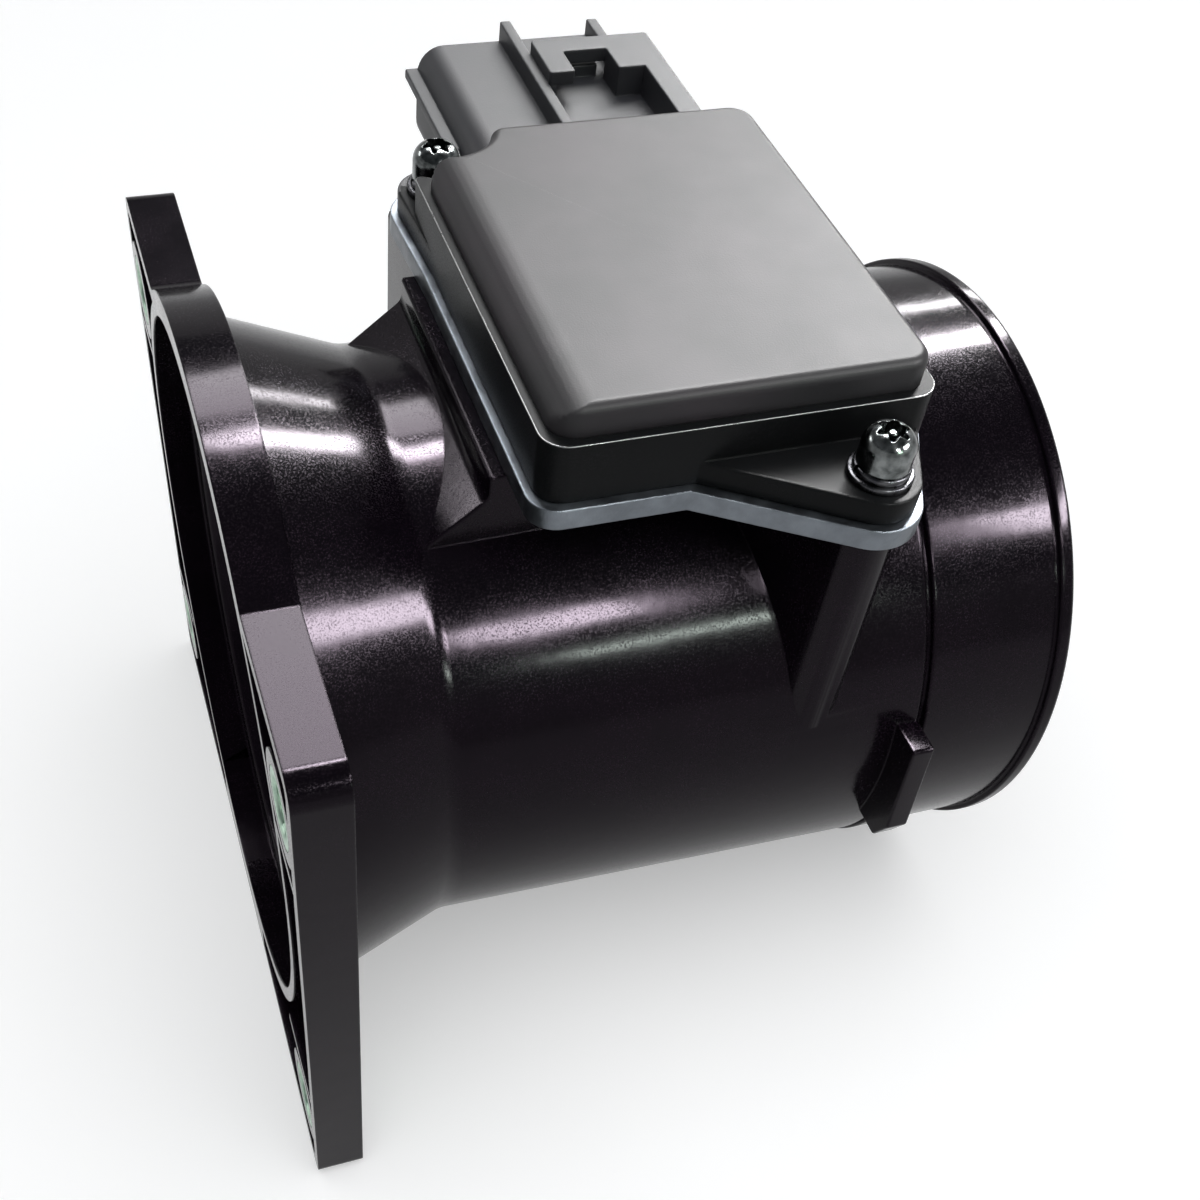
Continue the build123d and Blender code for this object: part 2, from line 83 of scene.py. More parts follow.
def rounded(corners: Sequence[Triple], steps: int = 6) -> list[Pair]:
    """Round the corners of a closed outline.

    Args:
        corners: Each corner as its two coordinates and its radius.
        steps: Number of chords on each rounded corner.

    Returns:
        The rounded outline.
    """
    result: list[Pair] = []
    count = len(corners)
    for i, (u, v, radius) in enumerate(corners):
        here = Vector((u, v))
        if radius <= 0:
            result.append((u, v))
            continue
        before = (Vector(corners[i - 1][:2]) - here).normalized()
        after = (Vector(corners[(i + 1) % count][:2]) - here).normalized()
        half = before.angle(after) / 2
        middle = here + (before + after).normalized() * (radius / math.sin(half))
        first = here + before * (radius / math.tan(half)) - middle
        last = here + after * (radius / math.tan(half)) - middle
        turn = math.atan2(first.x * last.y - first.y * last.x, first.dot(last))
        base = math.atan2(first.y, first.x)
        for k in range(steps + 1):
            angle = base + turn * k / steps
            result.append((middle.x + radius * math.cos(angle), middle.y + radius * math.sin(angle)))
    return result


def rectangle(u0: float, u1: float, v0: float, v1: float, radius: float = 0.0, steps: int = 6) -> list[Pair]:
    """Return a rectangle's outline with one corner radius."""
    return rounded([(u0, v0, radius), (u1, v0, radius), (u1, v1, radius), (u0, v1, radius)], steps)


def tangent_angle(point: Pair, centre: Pair, radius: float, side: int) -> float:
    """Return where a line from a point touches a circle.

    Args:
        point: The point outside the circle.
        centre: The circle's centre.
        radius: The circle's radius.
        side: 1 or -1 for one or the other of the two tangents.

    Returns:
        The angle of the touching point, in degrees.
    """
    across = Vector(point) - Vector(centre)
    opening = math.acos(radius / across.length)
    return math.degrees(math.atan2(across.y, across.x) + side * opening)


def wrapped(centre: Pair, radius: float, before: Pair, after: Pair, steps: int = 22) -> list[Pair]:
    """Return the arc of a circle that two straight edges run onto.

    Args:
        centre: The circle's centre.
        radius: The circle's radius.
        before: The point that the first edge comes from.
        after: The point that the second edge goes to.
        steps: Number of chords.

    Returns:
        The points of the arc, both ends included.
    """
    start = tangent_angle(before, centre, radius, 1)
    end = tangent_angle(after, centre, radius, -1)
    return arc(centre, radius, start, end + (360 if end < start else 0), steps)


def linked(name: str, data: Any) -> bpy.types.Object:
    """Return a new object with the given data, linked to the scene."""
    made = bpy.data.objects.new(name, data)
    bpy.context.scene.collection.objects.link(made)
    return made


class Solid:
    """A closed mesh under construction, in millimetres."""

    def __init__(self, bm: bmesh.types.BMesh) -> None:
        """Keep the mesh and point its faces outwards."""
        bmesh.ops.recalc_face_normals(bm, faces=bm.faces)
        self.mesh = bpy.data.meshes.new("solid")
        bm.to_mesh(self.mesh)
        bm.free()

    @classmethod
    def prism(cls, outline: Sequence[Pair], low: float, high: float, along: Along = Along.Z) -> "Solid":
        """Push a closed outline along an axis.

        Args:
            outline: The outline's points.
            low: Where the solid starts on the axis.
            high: Where it ends.
            along: The axis.

        Returns:
            The new solid.
        """
        return cls.stacked([(outline, low), (outline, high)], along)

    @classmethod
    def stacked(cls, layers: Sequence[tuple[Sequence[Pair], float]], along: Along = Along.Z) -> "Solid":
        """Skin closed outlines that lie one above the other.

        Args:
            layers: Each outline with its place on the axis; all have one number of points.
            along: The axis.

        Returns:
            The new solid.
        """
        bm = bmesh.new()
        first, second, depth = along.value
        rings = []
        for outline, level in layers:
            ring = []
            for u, v in outline:
                spot = [0.0, 0.0, 0.0]
                spot[first], spot[second], spot[depth] = u, v, level
                ring.append(bm.verts.new(spot))
            rings.append(ring)
        bm.faces.new(rings[0])
        bm.faces.new(rings[-1])
        count = len(rings[0])
        for below, above in zip(rings, rings[1:]):
            for i in range(count):
                j = (i + 1) % count
                bm.faces.new((below[i], below[j], above[j], above[i]))
        return cls(bm)

    @classmethod
    def block(cls, low: Sequence[float], high: Sequence[float]) -> "Solid":
        """Return a block between two corners."""
        return cls.prism(rectangle(low[0], high[0], low[1], high[1]), low[2], high[2])

    @classmethod
    def turned(cls, profile: Sequence[Pair], steps: int, axis: Along = Along.X,
               centre: Sequence[float] = (0.0, 0.0, 0.0)) -> "Solid":
        """Turn a closed profile round an axis.

        Args:
            profile: Points as distance along the axis and radius.
            steps: Number of chords in a turn.
            axis: The axis to turn round.
            centre: A point that the axis passes through.

        Returns:
            The new solid.
        """
        bm = bmesh.new()
        first, second, depth = axis.value
        rings = []
        for k in range(steps):
            angle = 2 * math.pi * k / steps
            ring = []
            for reach, radius in profile:
                spot = list(centre)
                spot[first] += radius * math.cos(angle)
                spot[second] += radius * math.sin(angle)
                spot[depth] += reach
                ring.append(bm.verts.new(spot))
            rings.append(ring)
        count = len(profile)
        for k in range(steps):
            here, after = rings[k], rings[(k + 1) % steps]
            for i in range(count):
                j = (i + 1) % count
                if profile[i][1] == 0 and profile[j][1] == 0:
                    continue
                bm.faces.new((here[i], here[j], after[j], after[i]))
        bmesh.ops.remove_doubles(bm, verts=bm.verts, dist=1e-5)
        return cls(bm)

    @classmethod
    def rod(cls, radius: float, low: float, high: float, steps: int, axis: Along = Along.Z,
            centre: Sequence[float] = (0.0, 0.0, 0.0)) -> "Solid":
        """Return a round bar between two places on an axis."""
        return cls.turned([(low, 0), (low, radius), (high, radius), (high, 0)], steps, axis, centre)

    def soften(self, width: float, steps: int = 2, limit: float = 35.0,
               pick: Callable[[Vector], bool] | None = None) -> "Solid":
        """Round the sharp edges.

        Args:
            width: Width of the rounding.
            steps: Number of faces across it.
            limit: Smallest angle in degrees of an edge that counts as sharp.
            pick: Tells from an edge's middle whether it is rounded.

        Returns:
            This solid.
        """
        bm = bmesh.new()
        bm.from_mesh(self.mesh)
        edges = []
        for edge in bm.edges:
            if len(edge.link_faces) != 2 or edge.calc_face_angle(0.0) < math.radians(limit):
                continue
            middle = (edge.verts[0].co + edge.verts[1].co) / 2
            if pick is None or pick(middle):
                edges.append(edge)
        bmesh.ops.bevel(bm, geom=edges, offset=width, segments=steps, profile=0.5,
                        affect="EDGES", clamp_overlap=True)
        bm.to_mesh(self.mesh)
        bm.free()
        return self

    def combine(self, others: Iterable["Solid"], operation: str) -> "Solid":
        """Join other solids to this one or cut them out of it.

        Args:
            others: The other solids.
            operation: UNION or DIFFERENCE.

        Returns:
            This solid.
        """
        base = linked("base", self.mesh)
        helpers = []
        for other in others:
            helper = linked("helper", other.mesh)
            modifier = base.modifiers.new("combine", "BOOLEAN")
            modifier.operation = operation
            modifier.solver = "EXACT"
            modifier.object = helper
            helpers.append(helper)
        graph = bpy.context.evaluated_depsgraph_get()
        self.mesh = bpy.data.meshes.new_from_object(base.evaluated_get(graph))
        for extra in [base, *helpers]:
            bpy.data.objects.remove(extra)
        return self

    def join(self, *others: "Solid") -> "Solid":
        """Add other solids to this one."""
        return self.combine(others, "UNION")

    def cut(self, *others: "Solid") -> "Solid":
        """Cut other solids out of this one."""
        return self.combine(others, "DIFFERENCE")

    def piece(self, name: str, finish: "Finish", node: str, slot: str) -> bpy.types.Object:
        """Place the finished piece in the scene, riding on the body.

        Args:
            name: The piece's name.
            finish: Its material.
            node: The CAD node that it stands for.
            slot: Not used.

        Returns:
            The new object.
        """
        bm = bmesh.new()
        bm.from_mesh(self.mesh)
        bmesh.ops.remove_doubles(bm, verts=bm.verts, dist=1e-4)
        bmesh.ops.dissolve_degenerate(bm, edges=bm.edges, dist=1e-4)
        bm.to_mesh(self.mesh)
        bm.free()
        self.mesh.transform(Matrix.Scale(MM, 4))
        self.mesh.name = name
        self.mesh.shade_smooth()
        self.mesh.set_sharp_from_angle(angle=math.radians(SHARP))
        self.mesh.materials.clear()
        self.mesh.materials.append(finish.material())
        for face in self.mesh.polygons:
            face.material_index = 0
        made = linked(name, self.mesh)
        weighted = made.modifiers.new("weighted", "WEIGHTED_NORMAL")
        weighted.keep_sharp = True
        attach(made, BODY)
        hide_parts(node)
        log.info("piece %s: %d faces", name, len(self.mesh.polygons))
        return made


class Value:
    """A number's socket that takes part in Python expressions."""

    def __init__(self, tree: bpy.types.NodeTree, socket: bpy.types.NodeSocket) -> None:
        """Wrap a socket of a material's node tree."""
        self.tree = tree
        self.socket = socket

    def _with(self, operation: str, first: Any, second: Any) -> "Value":
        """Add one Math node and return its result."""
        node = self.tree.nodes.new("ShaderNodeMath")
        node.operation = operation
        for slot, given in zip(node.inputs, (first, second)):
            if isinstance(given, Value):
                self.tree.links.new(given.socket, slot)
            else:
                slot.default_value = given
        return Value(self.tree, node.outputs[0])

    def __add__(self, other: Any) -> "Value":
        """Return self + other."""
        return self._with("ADD", self, other)

    __radd__ = __add__

    def __sub__(self, other: Any) -> "Value":
        """Return self - other."""
        return self._with("SUBTRACT", self, other)

    def __rsub__(self, other: Any) -> "Value":
        """Return other - self."""
        return self._with("SUBTRACT", other, self)

    def __mul__(self, other: Any) -> "Value":
        """Return self * other."""
        return self._with("MULTIPLY", self, other)

    __rmul__ = __mul__

    def __gt__(self, other: Any) -> "Value":
        """Return 1 where self is larger than other."""
        return self._with("GREATER_THAN", self, other)


class Paint:
    """The node tree of one material, with short calls to fill it."""

    def __init__(self, name: str) -> None:
        """Make an empty material that ends in a Principled shader."""
        self.made = bpy.data.materials.new(name)
        self.made.use_nodes = True
        self.tree = self.made.node_tree
        self.shader = self.tree.nodes["Principled BSDF"]

    def node(self, kind: str, settings: dict[str, Any] | None = None,
             inputs: dict[str, Any] | None = None) -> bpy.types.Node:
        """Add any node.

        Args:
            kind: The node's type.
            settings: Its own settings, set before the inputs.
            inputs: Values or links for its sockets, by name or number.

        Returns:
            The new node.
        """
        added = self.tree.nodes.new(kind)
        for key, given in (settings or {}).items():
            setattr(added, key, given)
        for key, given in (inputs or {}).items():
            self.feed(added.inputs[key], given)
        return added

    def feed(self, socket: bpy.types.NodeSocket, given: Any) -> None:
        """Link a socket or set its value."""
        if isinstance(given, Value):
            given = given.socket
        if isinstance(given, bpy.types.NodeSocket):
            self.tree.links.new(given, socket)
        else:
            socket.default_value = given

    def put(self, name: str, given: Any) -> None:
        """Link or set one input of the Principled shader."""
        self.feed(self.shader.inputs[name], given)

    def value(self, socket: bpy.types.NodeSocket) -> Value:
        """Wrap a socket for use in an expression."""
        return Value(self.tree, socket)

    def place(self) -> bpy.types.NodeSocket:
        """Return the point on the object in metres."""
        return self.node("ShaderNodeTexCoord").outputs["Object"]

    def noise(self, size: float, detail: float = 3.0) -> Value:
        """Return noise with features of about a given size.

        Args:
            size: Size of the features in millimetres.
            detail: Number of finer layers.

        Returns:
            The noise as a number from 0 to 1.
        """
        inputs = {"Vector": self.place(), "Scale": 1 / (size * MM), "Detail": detail}
        return self.value(self.node("ShaderNodeTexNoise", inputs=inputs).outputs["Fac"])

    def between(self, factor: Value, low: Colour, high: Colour) -> bpy.types.NodeSocket:
        """Return a colour mixed by a factor."""
        made = self.node("ShaderNodeMix", {"data_type": "RGBA"}, {0: factor, 6: (*low, 1.0), 7: (*high, 1.0)})
        return made.outputs[2]

    def clamp(self, given: Value, low: float, high: float, new_low: float = 0.0,
              new_high: float = 1.0) -> Value:
        """Return a number carried from one range to another, and held inside it."""
        made = self.node("ShaderNodeMapRange", {"clamp": True}, {
            "Value": given, "From Min": low, "From Max": high, "To Min": new_low, "To Max": new_high})
        return self.value(made.outputs[0])

    def bump(self, height: Value, depth: float, under: Any = None) -> bpy.types.NodeSocket:
        """Return a normal for a height given in millimetres at full scale."""
        inputs = {"Height": height, "Distance": depth * MM, "Strength": 1.0}
        if under is not None:
            inputs["Normal"] = under
        return self.node("ShaderNodeBump", inputs=inputs).outputs[0]

    def edge(self, width: float) -> bpy.types.NodeSocket:
        """Return a normal that is soft over sharp edges."""
        return self.node("ShaderNodeBevel", {"samples": 4}, {"Radius": width * MM}).outputs[0]


@dataclass(frozen=True)
class Finish:
    """One surface finish.

    Attributes:
        name: The material's name.
        colour: Main colour.
        rough: Roughness.
        metal: 1 for metal.
        level: Specular level.
        tint: Colour of the highlights.
    """

    name: str
    colour: Colour
    rough: float = 0.5
    metal: float = 0.0
    level: float = 0.5
    tint: Colour = (1.0, 1.0, 1.0)

    def material(self) -> bpy.types.Material:
        """Return the material, made on first use."""
        known = bpy.data.materials.get(self.name)
        if known:
            return known
        paint = Paint(self.name)
        paint.put("Base Color", (*self.colour, 1.0))
        paint.put("Roughness", self.rough)
        paint.put("Metallic", self.metal)
        paint.put("Specular IOR Level", self.level)
        paint.put("Specular Tint", (*self.tint, 1.0))
        self.dress(paint)
        return paint.made

    def dress(self, paint: Paint) -> None:
        """Add the finish's own texture: a faint unevenness."""
        gloss = paint.clamp(paint.noise(4.0), 0.3, 0.7, self.rough * 0.85, self.rough * 1.15)
        paint.put("Roughness", gloss)
        paint.put("Normal", paint.bump(paint.noise(0.25), 0.004))


@dataclass(frozen=True)
class GlossyNylon(Finish):
    """Glass-filled nylon: glossy black with fine specks and a wavy skin."""

    speck: Colour = (0.05, 0.03, 0.05)

    def dress(self, paint: Paint) -> None:
        """Add specks, clouds in the gloss and the wavy skin."""
        cloud = paint.clamp(paint.noise(9.0, 4.0), 0.35, 0.65)
        grain = paint.clamp(paint.noise(0.2, 2.0), 0.48, 0.68)
        paint.put("Base Color", paint.between(grain * cloud, self.colour, self.speck))
        gloss = self.rough + 0.16 * grain + 0.04 * cloud
        paint.put("Roughness", gloss)
        wave = paint.noise(3.5, 1.0) * 0.3 + paint.noise(0.2, 1.0) * 0.018
        paint.put("Normal", paint.bump(wave, 0.05, paint.edge(0.35)))


@dataclass(frozen=True)
class GrainedPlastic(Finish):
    """Spark-eroded matt plastic with a fine even grain and faint stains."""

    stain: Colour = (0.1, 0.1, 0.1)

    def dress(self, paint: Paint) -> None:
        """Add grain and stains."""
        stain = paint.clamp(paint.noise(14.0, 3.0), 0.4, 0.7)
        paint.put("Base Color", paint.between(stain, self.colour, self.stain))
        paint.put("Roughness", self.rough - 0.06 * stain)
        paint.put("Normal", paint.bump(paint.noise(0.2, 2.0), 0.012, paint.edge(0.3)))


@dataclass(frozen=True)
class CastMetal(Finish):
    """Raw cast metal: grainy, a little blotchy."""

    metal: float = 1.0

    def dress(self, paint: Paint) -> None:
        """Add blotches and the casting's grain."""
        blotch = paint.clamp(paint.noise(2.5, 4.0), 0.35, 0.7)
        low = tuple(0.7 * c for c in self.colour)
        paint.put("Base Color", paint.between(blotch, low, self.colour))
        paint.put("Roughness", self.rough + 0.15 * blotch)
        paint.put("Normal", paint.bump(paint.noise(0.3, 3.0), 0.03, paint.edge(0.2)))


@dataclass(frozen=True)
class PlatedMetal(Finish):
    """Plated metal with patches of tone."""

    metal: float = 1.0
    shade: Colour = (0.4, 0.4, 0.4)

    def dress(self, paint: Paint) -> None:
        """Add the patches and a fine grain."""
        patch = paint.clamp(paint.noise(1.2, 3.0), 0.35, 0.65)
        paint.put("Base Color", paint.between(patch, self.shade, self.colour))
        paint.put("Roughness", self.rough + 0.12 * patch)
        paint.put("Normal", paint.bump(paint.noise(0.15, 2.0), 0.006, paint.edge(0.12)))


HOUSING = GlossyNylon("housing_black_nylon", (0.003, 0.002, 0.0035), rough=0.10, level=0.09,
                      tint=(1.0, 0.84, 1.0), speck=(0.012, 0.006, 0.012))
CASE = GlossyNylon("case_satin_black", (0.007, 0.0075, 0.008), rough=0.28, level=0.05,
                   speck=(0.012, 0.012, 0.013))
LID = GrainedPlastic("lid_matt_grey", (0.034, 0.033, 0.035), rough=0.46, level=0.122,
                     stain=(0.043, 0.037, 0.042))
SHELL = GrainedPlastic("connector_matt_grey", (0.028, 0.029, 0.033), rough=0.46, level=0.18,
                       stain=(0.036, 0.035, 0.040))
PLATE = CastMetal("plate_cast_aluminium", (0.16, 0.175, 0.195), rough=0.34)
BUSH = PlatedMetal("bush_green_zinc", (0.46, 0.60, 0.49), rough=0.34, shade=(0.28, 0.38, 0.31))
SCREW = PlatedMetal("screw_dark_plating", (0.17, 0.18, 0.18), rough=0.12, shade=(0.05, 0.055, 0.055))
WASHER = PlatedMetal("washer_dark_plating", (0.08, 0.08, 0.085), rough=0.22, shade=(0.035, 0.035, 0.04))
BRASS = PlatedMetal("insert_brass", (0.72, 0.52, 0.26), rough=0.3, shade=(0.5, 0.34, 0.15))
TIN = PlatedMetal("blade_tin_plating", (0.75, 0.73, 0.68), rough=0.28, shade=(0.55, 0.53, 0.5))
NICKEL = PlatedMetal("prong_nickel", (0.66, 0.65, 0.63), rough=0.22, shade=(0.5, 0.5, 0.48))
PLATINUM = PlatedMetal("element_platinum", (0.8, 0.79, 0.76), rough=0.18, shade=(0.6, 0.6, 0.58))
# The case rim's rounded top edge: a lighter colour and strong gloss paint a highlight line there.
RIM_HIGHLIGHT = Finish("case_rim_painted_highlight", (0.05, 0.052, 0.055), rough=0.3, level=1.6)
RUBBER = GrainedPlastic("seal_rubber", (0.02, 0.02, 0.02), rough=0.7, level=0.3, stain=(0.03, 0.03, 0.03))
ADHESIVE = GrainedPlastic("lid_adhesive", (0.05, 0.05, 0.055), rough=0.35, stain=(0.07, 0.07, 0.07))
CERAMIC = GrainedPlastic("board_white_ceramic", (0.78, 0.77, 0.72), rough=0.45, stain=(0.7, 0.69, 0.62))
CHIP = GrainedPlastic("chip_black", (0.03, 0.03, 0.03), rough=0.5, stain=(0.045, 0.045, 0.045))
GLASS_BEAD = Finish("bead_glass_coat", (0.06, 0.14, 0.09), rough=0.1, level=0.6)
DUCT = GlossyNylon("bypass_satin_black", (0.014, 0.014, 0.015), rough=0.3, level=0.35,
                   speck=(0.03, 0.03, 0.03))


@dataclass(frozen=True)
class Layout:
    """What the sub-assemblies share: levels, screws, the arm's opening in the plate and the blades."""

    pad_top: float = 41.5
    plate_top: float = 44.2
    ear_top: float = 47.2
    rim: float = 51.7
    lid_top: float = 55.4
    near_screw: Pair = (66.8, -33.3)
    far_screw: Pair = (35.6, 27.4)
    screw_hole: float = 2.05
    neck: tuple[float, ...] = (46.5, 59.5, -5.5, 5.5, 1.5)
    blade_xs: tuple[float, ...] = (46.3, 50.9, 55.5, 60.1, 64.7)
    blade_half: float = 1.1

    def screws(self) -> tuple[Pair, Pair]:
        """Return the two screw centres."""
        return self.near_screw, self.far_screw


LAYOUT = Layout()


@dataclass
class DuctHousing:
    """The black moulding: intake flange, duct, sensor pad, boss, pillar and foot.

    All sizes are in millimetres; X runs down the duct and Z points to the sensor module.
    """

    length: float = 101.4
    lip_radius: float = 40.0
    lip_width: float = 2.0
    lip_round: float = 0.7
    barrel_radius: float = 39.2
    bore_radius: float = 35.4
    bore_end: float = 87.2
    outlet_radius: float = 36.7
    outlet_edge: float = 0.5
    cone_radius: float = 43.2
    cone_end: float = 21.5
    neck_radius: float = 37.7
    neck_round: float = 6.0
    neck_growth: float = 1.2
    groove: Pair = (81.4, 82.15)
    groove_radius: float = 38.3
    mouth_radius: float = 43.6
    mouth_length: float = 4.5
    throat_radius: float = 41.5
    throat_round: float = 8.0
    flange_low: Pair = (-52.0, -49.0)
    flange_high: Pair = (52.0, 37.0)
    flange_depth: float = 6.25
    top_corner: float = 3.4
    low_corner: float = 2.2
    rim_radius: float = 46.6
    rim_fillet: float = 3.5
    near_fillet: float = 1.0
    core_wall: float = 2.0
    core_depth: float = 3.8
    core_keep: Pair = (-2.0, 5.0)
    core_bridge: tuple[float, ...] = (-15.0, 15.0, -60.0, 0.0)
    ring_radius: float = 45.4
    hub_radius: float = 6.3
    rib_offset: float = 7.7
    rib_reach: float = 8.0
    rib_half: float = 0.7
    bolts: tuple[Pair, ...] = ((-45.0, 26.0), (-45.0, -38.0), (45.0, 26.0), (45.0, -38.0))
    bush_radius: float = 4.55
    pad_x: Pair = (29.0, 75.5)
    pad_half: float = 18.85
    ramp_run: float = 7.1
    ramp_rise: float = 5.8
    window_x: Pair = (42.0, 64.0)
    window_half: float = 9.0
    boss_radius: float = 3.9
    boss_foot: float = 4.5
    web_back: float = 9.0
    web_front: float = 0.6
    web_root: float = 6.0
    web_foot: float = 10.5
    pillar_x: Pair = (31.0, 40.5)
    pillar_out: float = 33.7
    pillar_foot: float = 11.5
    foot_x: Pair = (78.4, 81.4)
    foot: tuple[Triple, ...] = ((-34.7, 8.7, 0), (-34.7, -9.6, 0), (-41.8, -9.6, 0.5), (-43.8, -5.6, 0.8),
                                (-42.8, 8.7, 0.5))
    thread_radius: float = 2.6
    thread_depth: float = 9.0
    steps: int = 168

    def body(self) -> Solid:
        """Return the duct as a solid of revolution, closed over the bore."""
        start, end = self.groove
        lip = self.length - self.lip_width
        core = self.rim_radius - 1
        return Solid.turned(rounded([
            (0.0, 0.0, 0), (0.0, core, 0), (self.flange_depth, core, 0),
            (self.flange_depth, self.cone_radius, 0.9), (self.cone_end, self.neck_radius, self.neck_round),
            (start, self.neck_radius + self.neck_growth, 0.3), (start, self.groove_radius, 0.2),
            (end, self.groove_radius, 0.2), (end, self.barrel_radius, 0.3),
            (lip, self.barrel_radius, 0.3), (lip, self.lip_radius, 0.3),
            (self.length, self.lip_radius, self.lip_round), (self.length, 0.0, 0)], 4), self.steps)

    def airway(self) -> Solid:
        """Return the space inside the duct."""
        outlet = self.outlet_radius + self.outlet_edge
        return Solid.turned(rounded([
            (-PAST, 0.0, 0), (-PAST, self.mouth_radius, 0), (self.mouth_length, self.mouth_radius, 0.3),
            (self.mouth_length, self.throat_radius, 1.2),
            (self.cone_end, self.bore_radius, self.throat_round), (self.bore_end, self.bore_radius, 0),
            (self.length - 0.4, self.outlet_radius, 0),
            (self.length + 0.1, outlet, 0), (self.length + PAST, outlet, 0),
            (self.length + PAST, 0.0, 0)], 5), self.steps)

    def flange(self) -> Solid:
        """Return the flange with the round rim that stands above its top edge."""
        low_y, low_z = self.flange_low
        high_y, high_z = self.flange_high
        fillet_z = high_z + self.rim_fillet
        near_z = high_z + self.near_fillet
        far_y = math.sqrt((self.rim_radius + self.rim_fillet) ** 2 - fillet_z ** 2)
        near_y = math.sqrt((self.rim_radius + self.near_fillet) ** 2 - near_z ** 2)
        near_turn = math.degrees(math.atan2(near_z, -near_y))
        far_turn = math.degrees(math.atan2(fillet_z, far_y))
        rim = arc((0, 0), self.rim_radius, far_turn, near_turn, 44)
        fillet = arc((far_y, fillet_z), self.rim_fillet, 270, 180 + far_turn, 8)
        near = arc((-near_y, near_z), self.near_fillet, near_turn - 180, -90, 6)
        corners = rounded([(low_y, high_z, self.top_corner), (low_y, low_z, self.low_corner),
                           (high_y, low_z, self.low_corner), (high_y, high_z, self.top_corner)], 8)
        outline = [*fillet, *rim, *near, *corners]
        return Solid.prism(outline, 0, self.flange_depth, Along.X).soften(0.35, 2)

    def pockets(self) -> Solid:
        """Return what is cored out of the flange's front face."""
        low_y, low_z = (edge + self.core_wall for edge in self.flange_low)
        high_y, high_z = (edge - self.core_wall for edge in self.flange_high)
        low, high = self.core_keep
        core = Solid.prism(rectangle(low_y, high_y, low_z, high_z, 1.2), -PAST, self.core_depth, Along.X)
        keep = [Solid.prism(rectangle(*self.core_bridge), low, high, Along.X),
                Solid.rod(self.ring_radius, low, high, self.steps, Along.X)]
        for y, z in self.bolts:
            middle = z + (self.rib_offset if z < 0 else -self.rib_offset)
            rib = rectangle(y - self.rib_reach, y + self.rib_reach,
                            middle - self.rib_half, middle + self.rib_half)
            keep.append(Solid.rod(self.hub_radius, low, high, 48, Along.X, (0, y, z)))
            keep.append(Solid.prism(rib, low, high, Along.X))
        return core.cut(*keep)

    def pad(self, top: float) -> Solid:
        """Return the level pad with its ramp."""
        x0, x1 = self.pad_x
        foot_z = math.sqrt(self.neck_radius ** 2 - self.pad_half ** 2)
        ramp_x = x0 - self.ramp_run
        side = rounded([(ramp_x, foot_z - 2, 0), (ramp_x, foot_z, 0), (x0, foot_z + self.ramp_rise, 2.0),
                        (x0, top, 0.4), (x1, top, 0.4), (x1, foot_z - 2, 0)], 5)
        return Solid.prism(side, -self.pad_half, self.pad_half, Along.Y).soften(0.4, 2, 60)

    def attachments(self, top: float) -> list[Solid]:
        """Return the pad, boss, web, pillar and foot.

        Args:
            top: The height of the pad's seat.

        Returns:
            The solids that join the duct.
        """
        centre = LAYOUT.near_screw
        half = self.pad_half
        back = (centre[0] - self.web_back, -half)
        front = (centre[0] + self.web_front, -half)
        web = [back, *wrapped(centre, self.boss_radius, back, front, 26), front,
               (front[0], -half + self.web_root), (back[0], -half + self.web_root)]
        low_x, high_x = self.pillar_x
        pillar = Solid.block((low_x, half / 2, self.pillar_foot), (high_x, self.pillar_out, top))
        return [self.pad(top), Solid.rod(self.boss_radius, self.boss_foot, top, 56, Along.Z, (*centre, 0)),
                Solid.prism(web, self.web_foot, top), pillar.soften(0.7, 2),
                Solid.prism(rounded(self.foot, 3), *self.foot_x, Along.X).soften(0.3, 2)]

    def build(self) -> None:
        """Make the housing piece."""
        top = LAYOUT.pad_top
        x0, x1 = self.window_x
        holes = [self.airway(), self.pockets(),
                 Solid.block((x0, -self.window_half, 0), (x1, self.window_half, top + PAST))]
        for y, z in self.bolts:
            holes.append(Solid.rod(self.bush_radius, -PAST, 8, 64, Along.X, (0, y, z)))
        for spot in LAYOUT.screws():
            holes.append(Solid.rod(self.thread_radius, top - self.thread_depth, top + PAST, 40, Along.Z,
                                   (*spot, 0)))
        shape = self.body().join(self.flange(), *self.attachments(top)).cut(*holes)
        shape.piece("duct_housing", HOUSING, "housing", "housing")


@dataclass
class FlangeBush:
    """A pressed-in metal bush with teeth round its outside."""

    name: str
    centre: Pair
    outer: float
    depth: float
    inner: float = 3.3
    teeth: int = 28
    tooth_gap: float = 0.3

    def build(self) -> None:
        """Make the bush and cut its teeth."""
        profile = rounded([(0.0, self.inner, 0.4), (0.0, self.outer, 0.15), (self.depth, self.outer, 0.15),
                           (self.depth, self.inner, 0.4)], 3)
        body = Solid.turned(profile, 84, Along.X, (0, *self.centre))
        gaps = bmesh.new()
        for k in range(self.teeth):
            angle = 2 * math.pi * k / self.teeth
            y = self.centre[0] + self.outer * math.cos(angle)
            z = self.centre[1] + self.outer * math.sin(angle)
            gaps.from_mesh(Solid.rod(self.tooth_gap, -PAST, self.depth + PAST, 6, Along.X, (0, y, z)).mesh)
        body.cut(Solid(gaps))
        body.piece("bush_" + self.name, BUSH, "flange_bush_" + self.name, "bush")


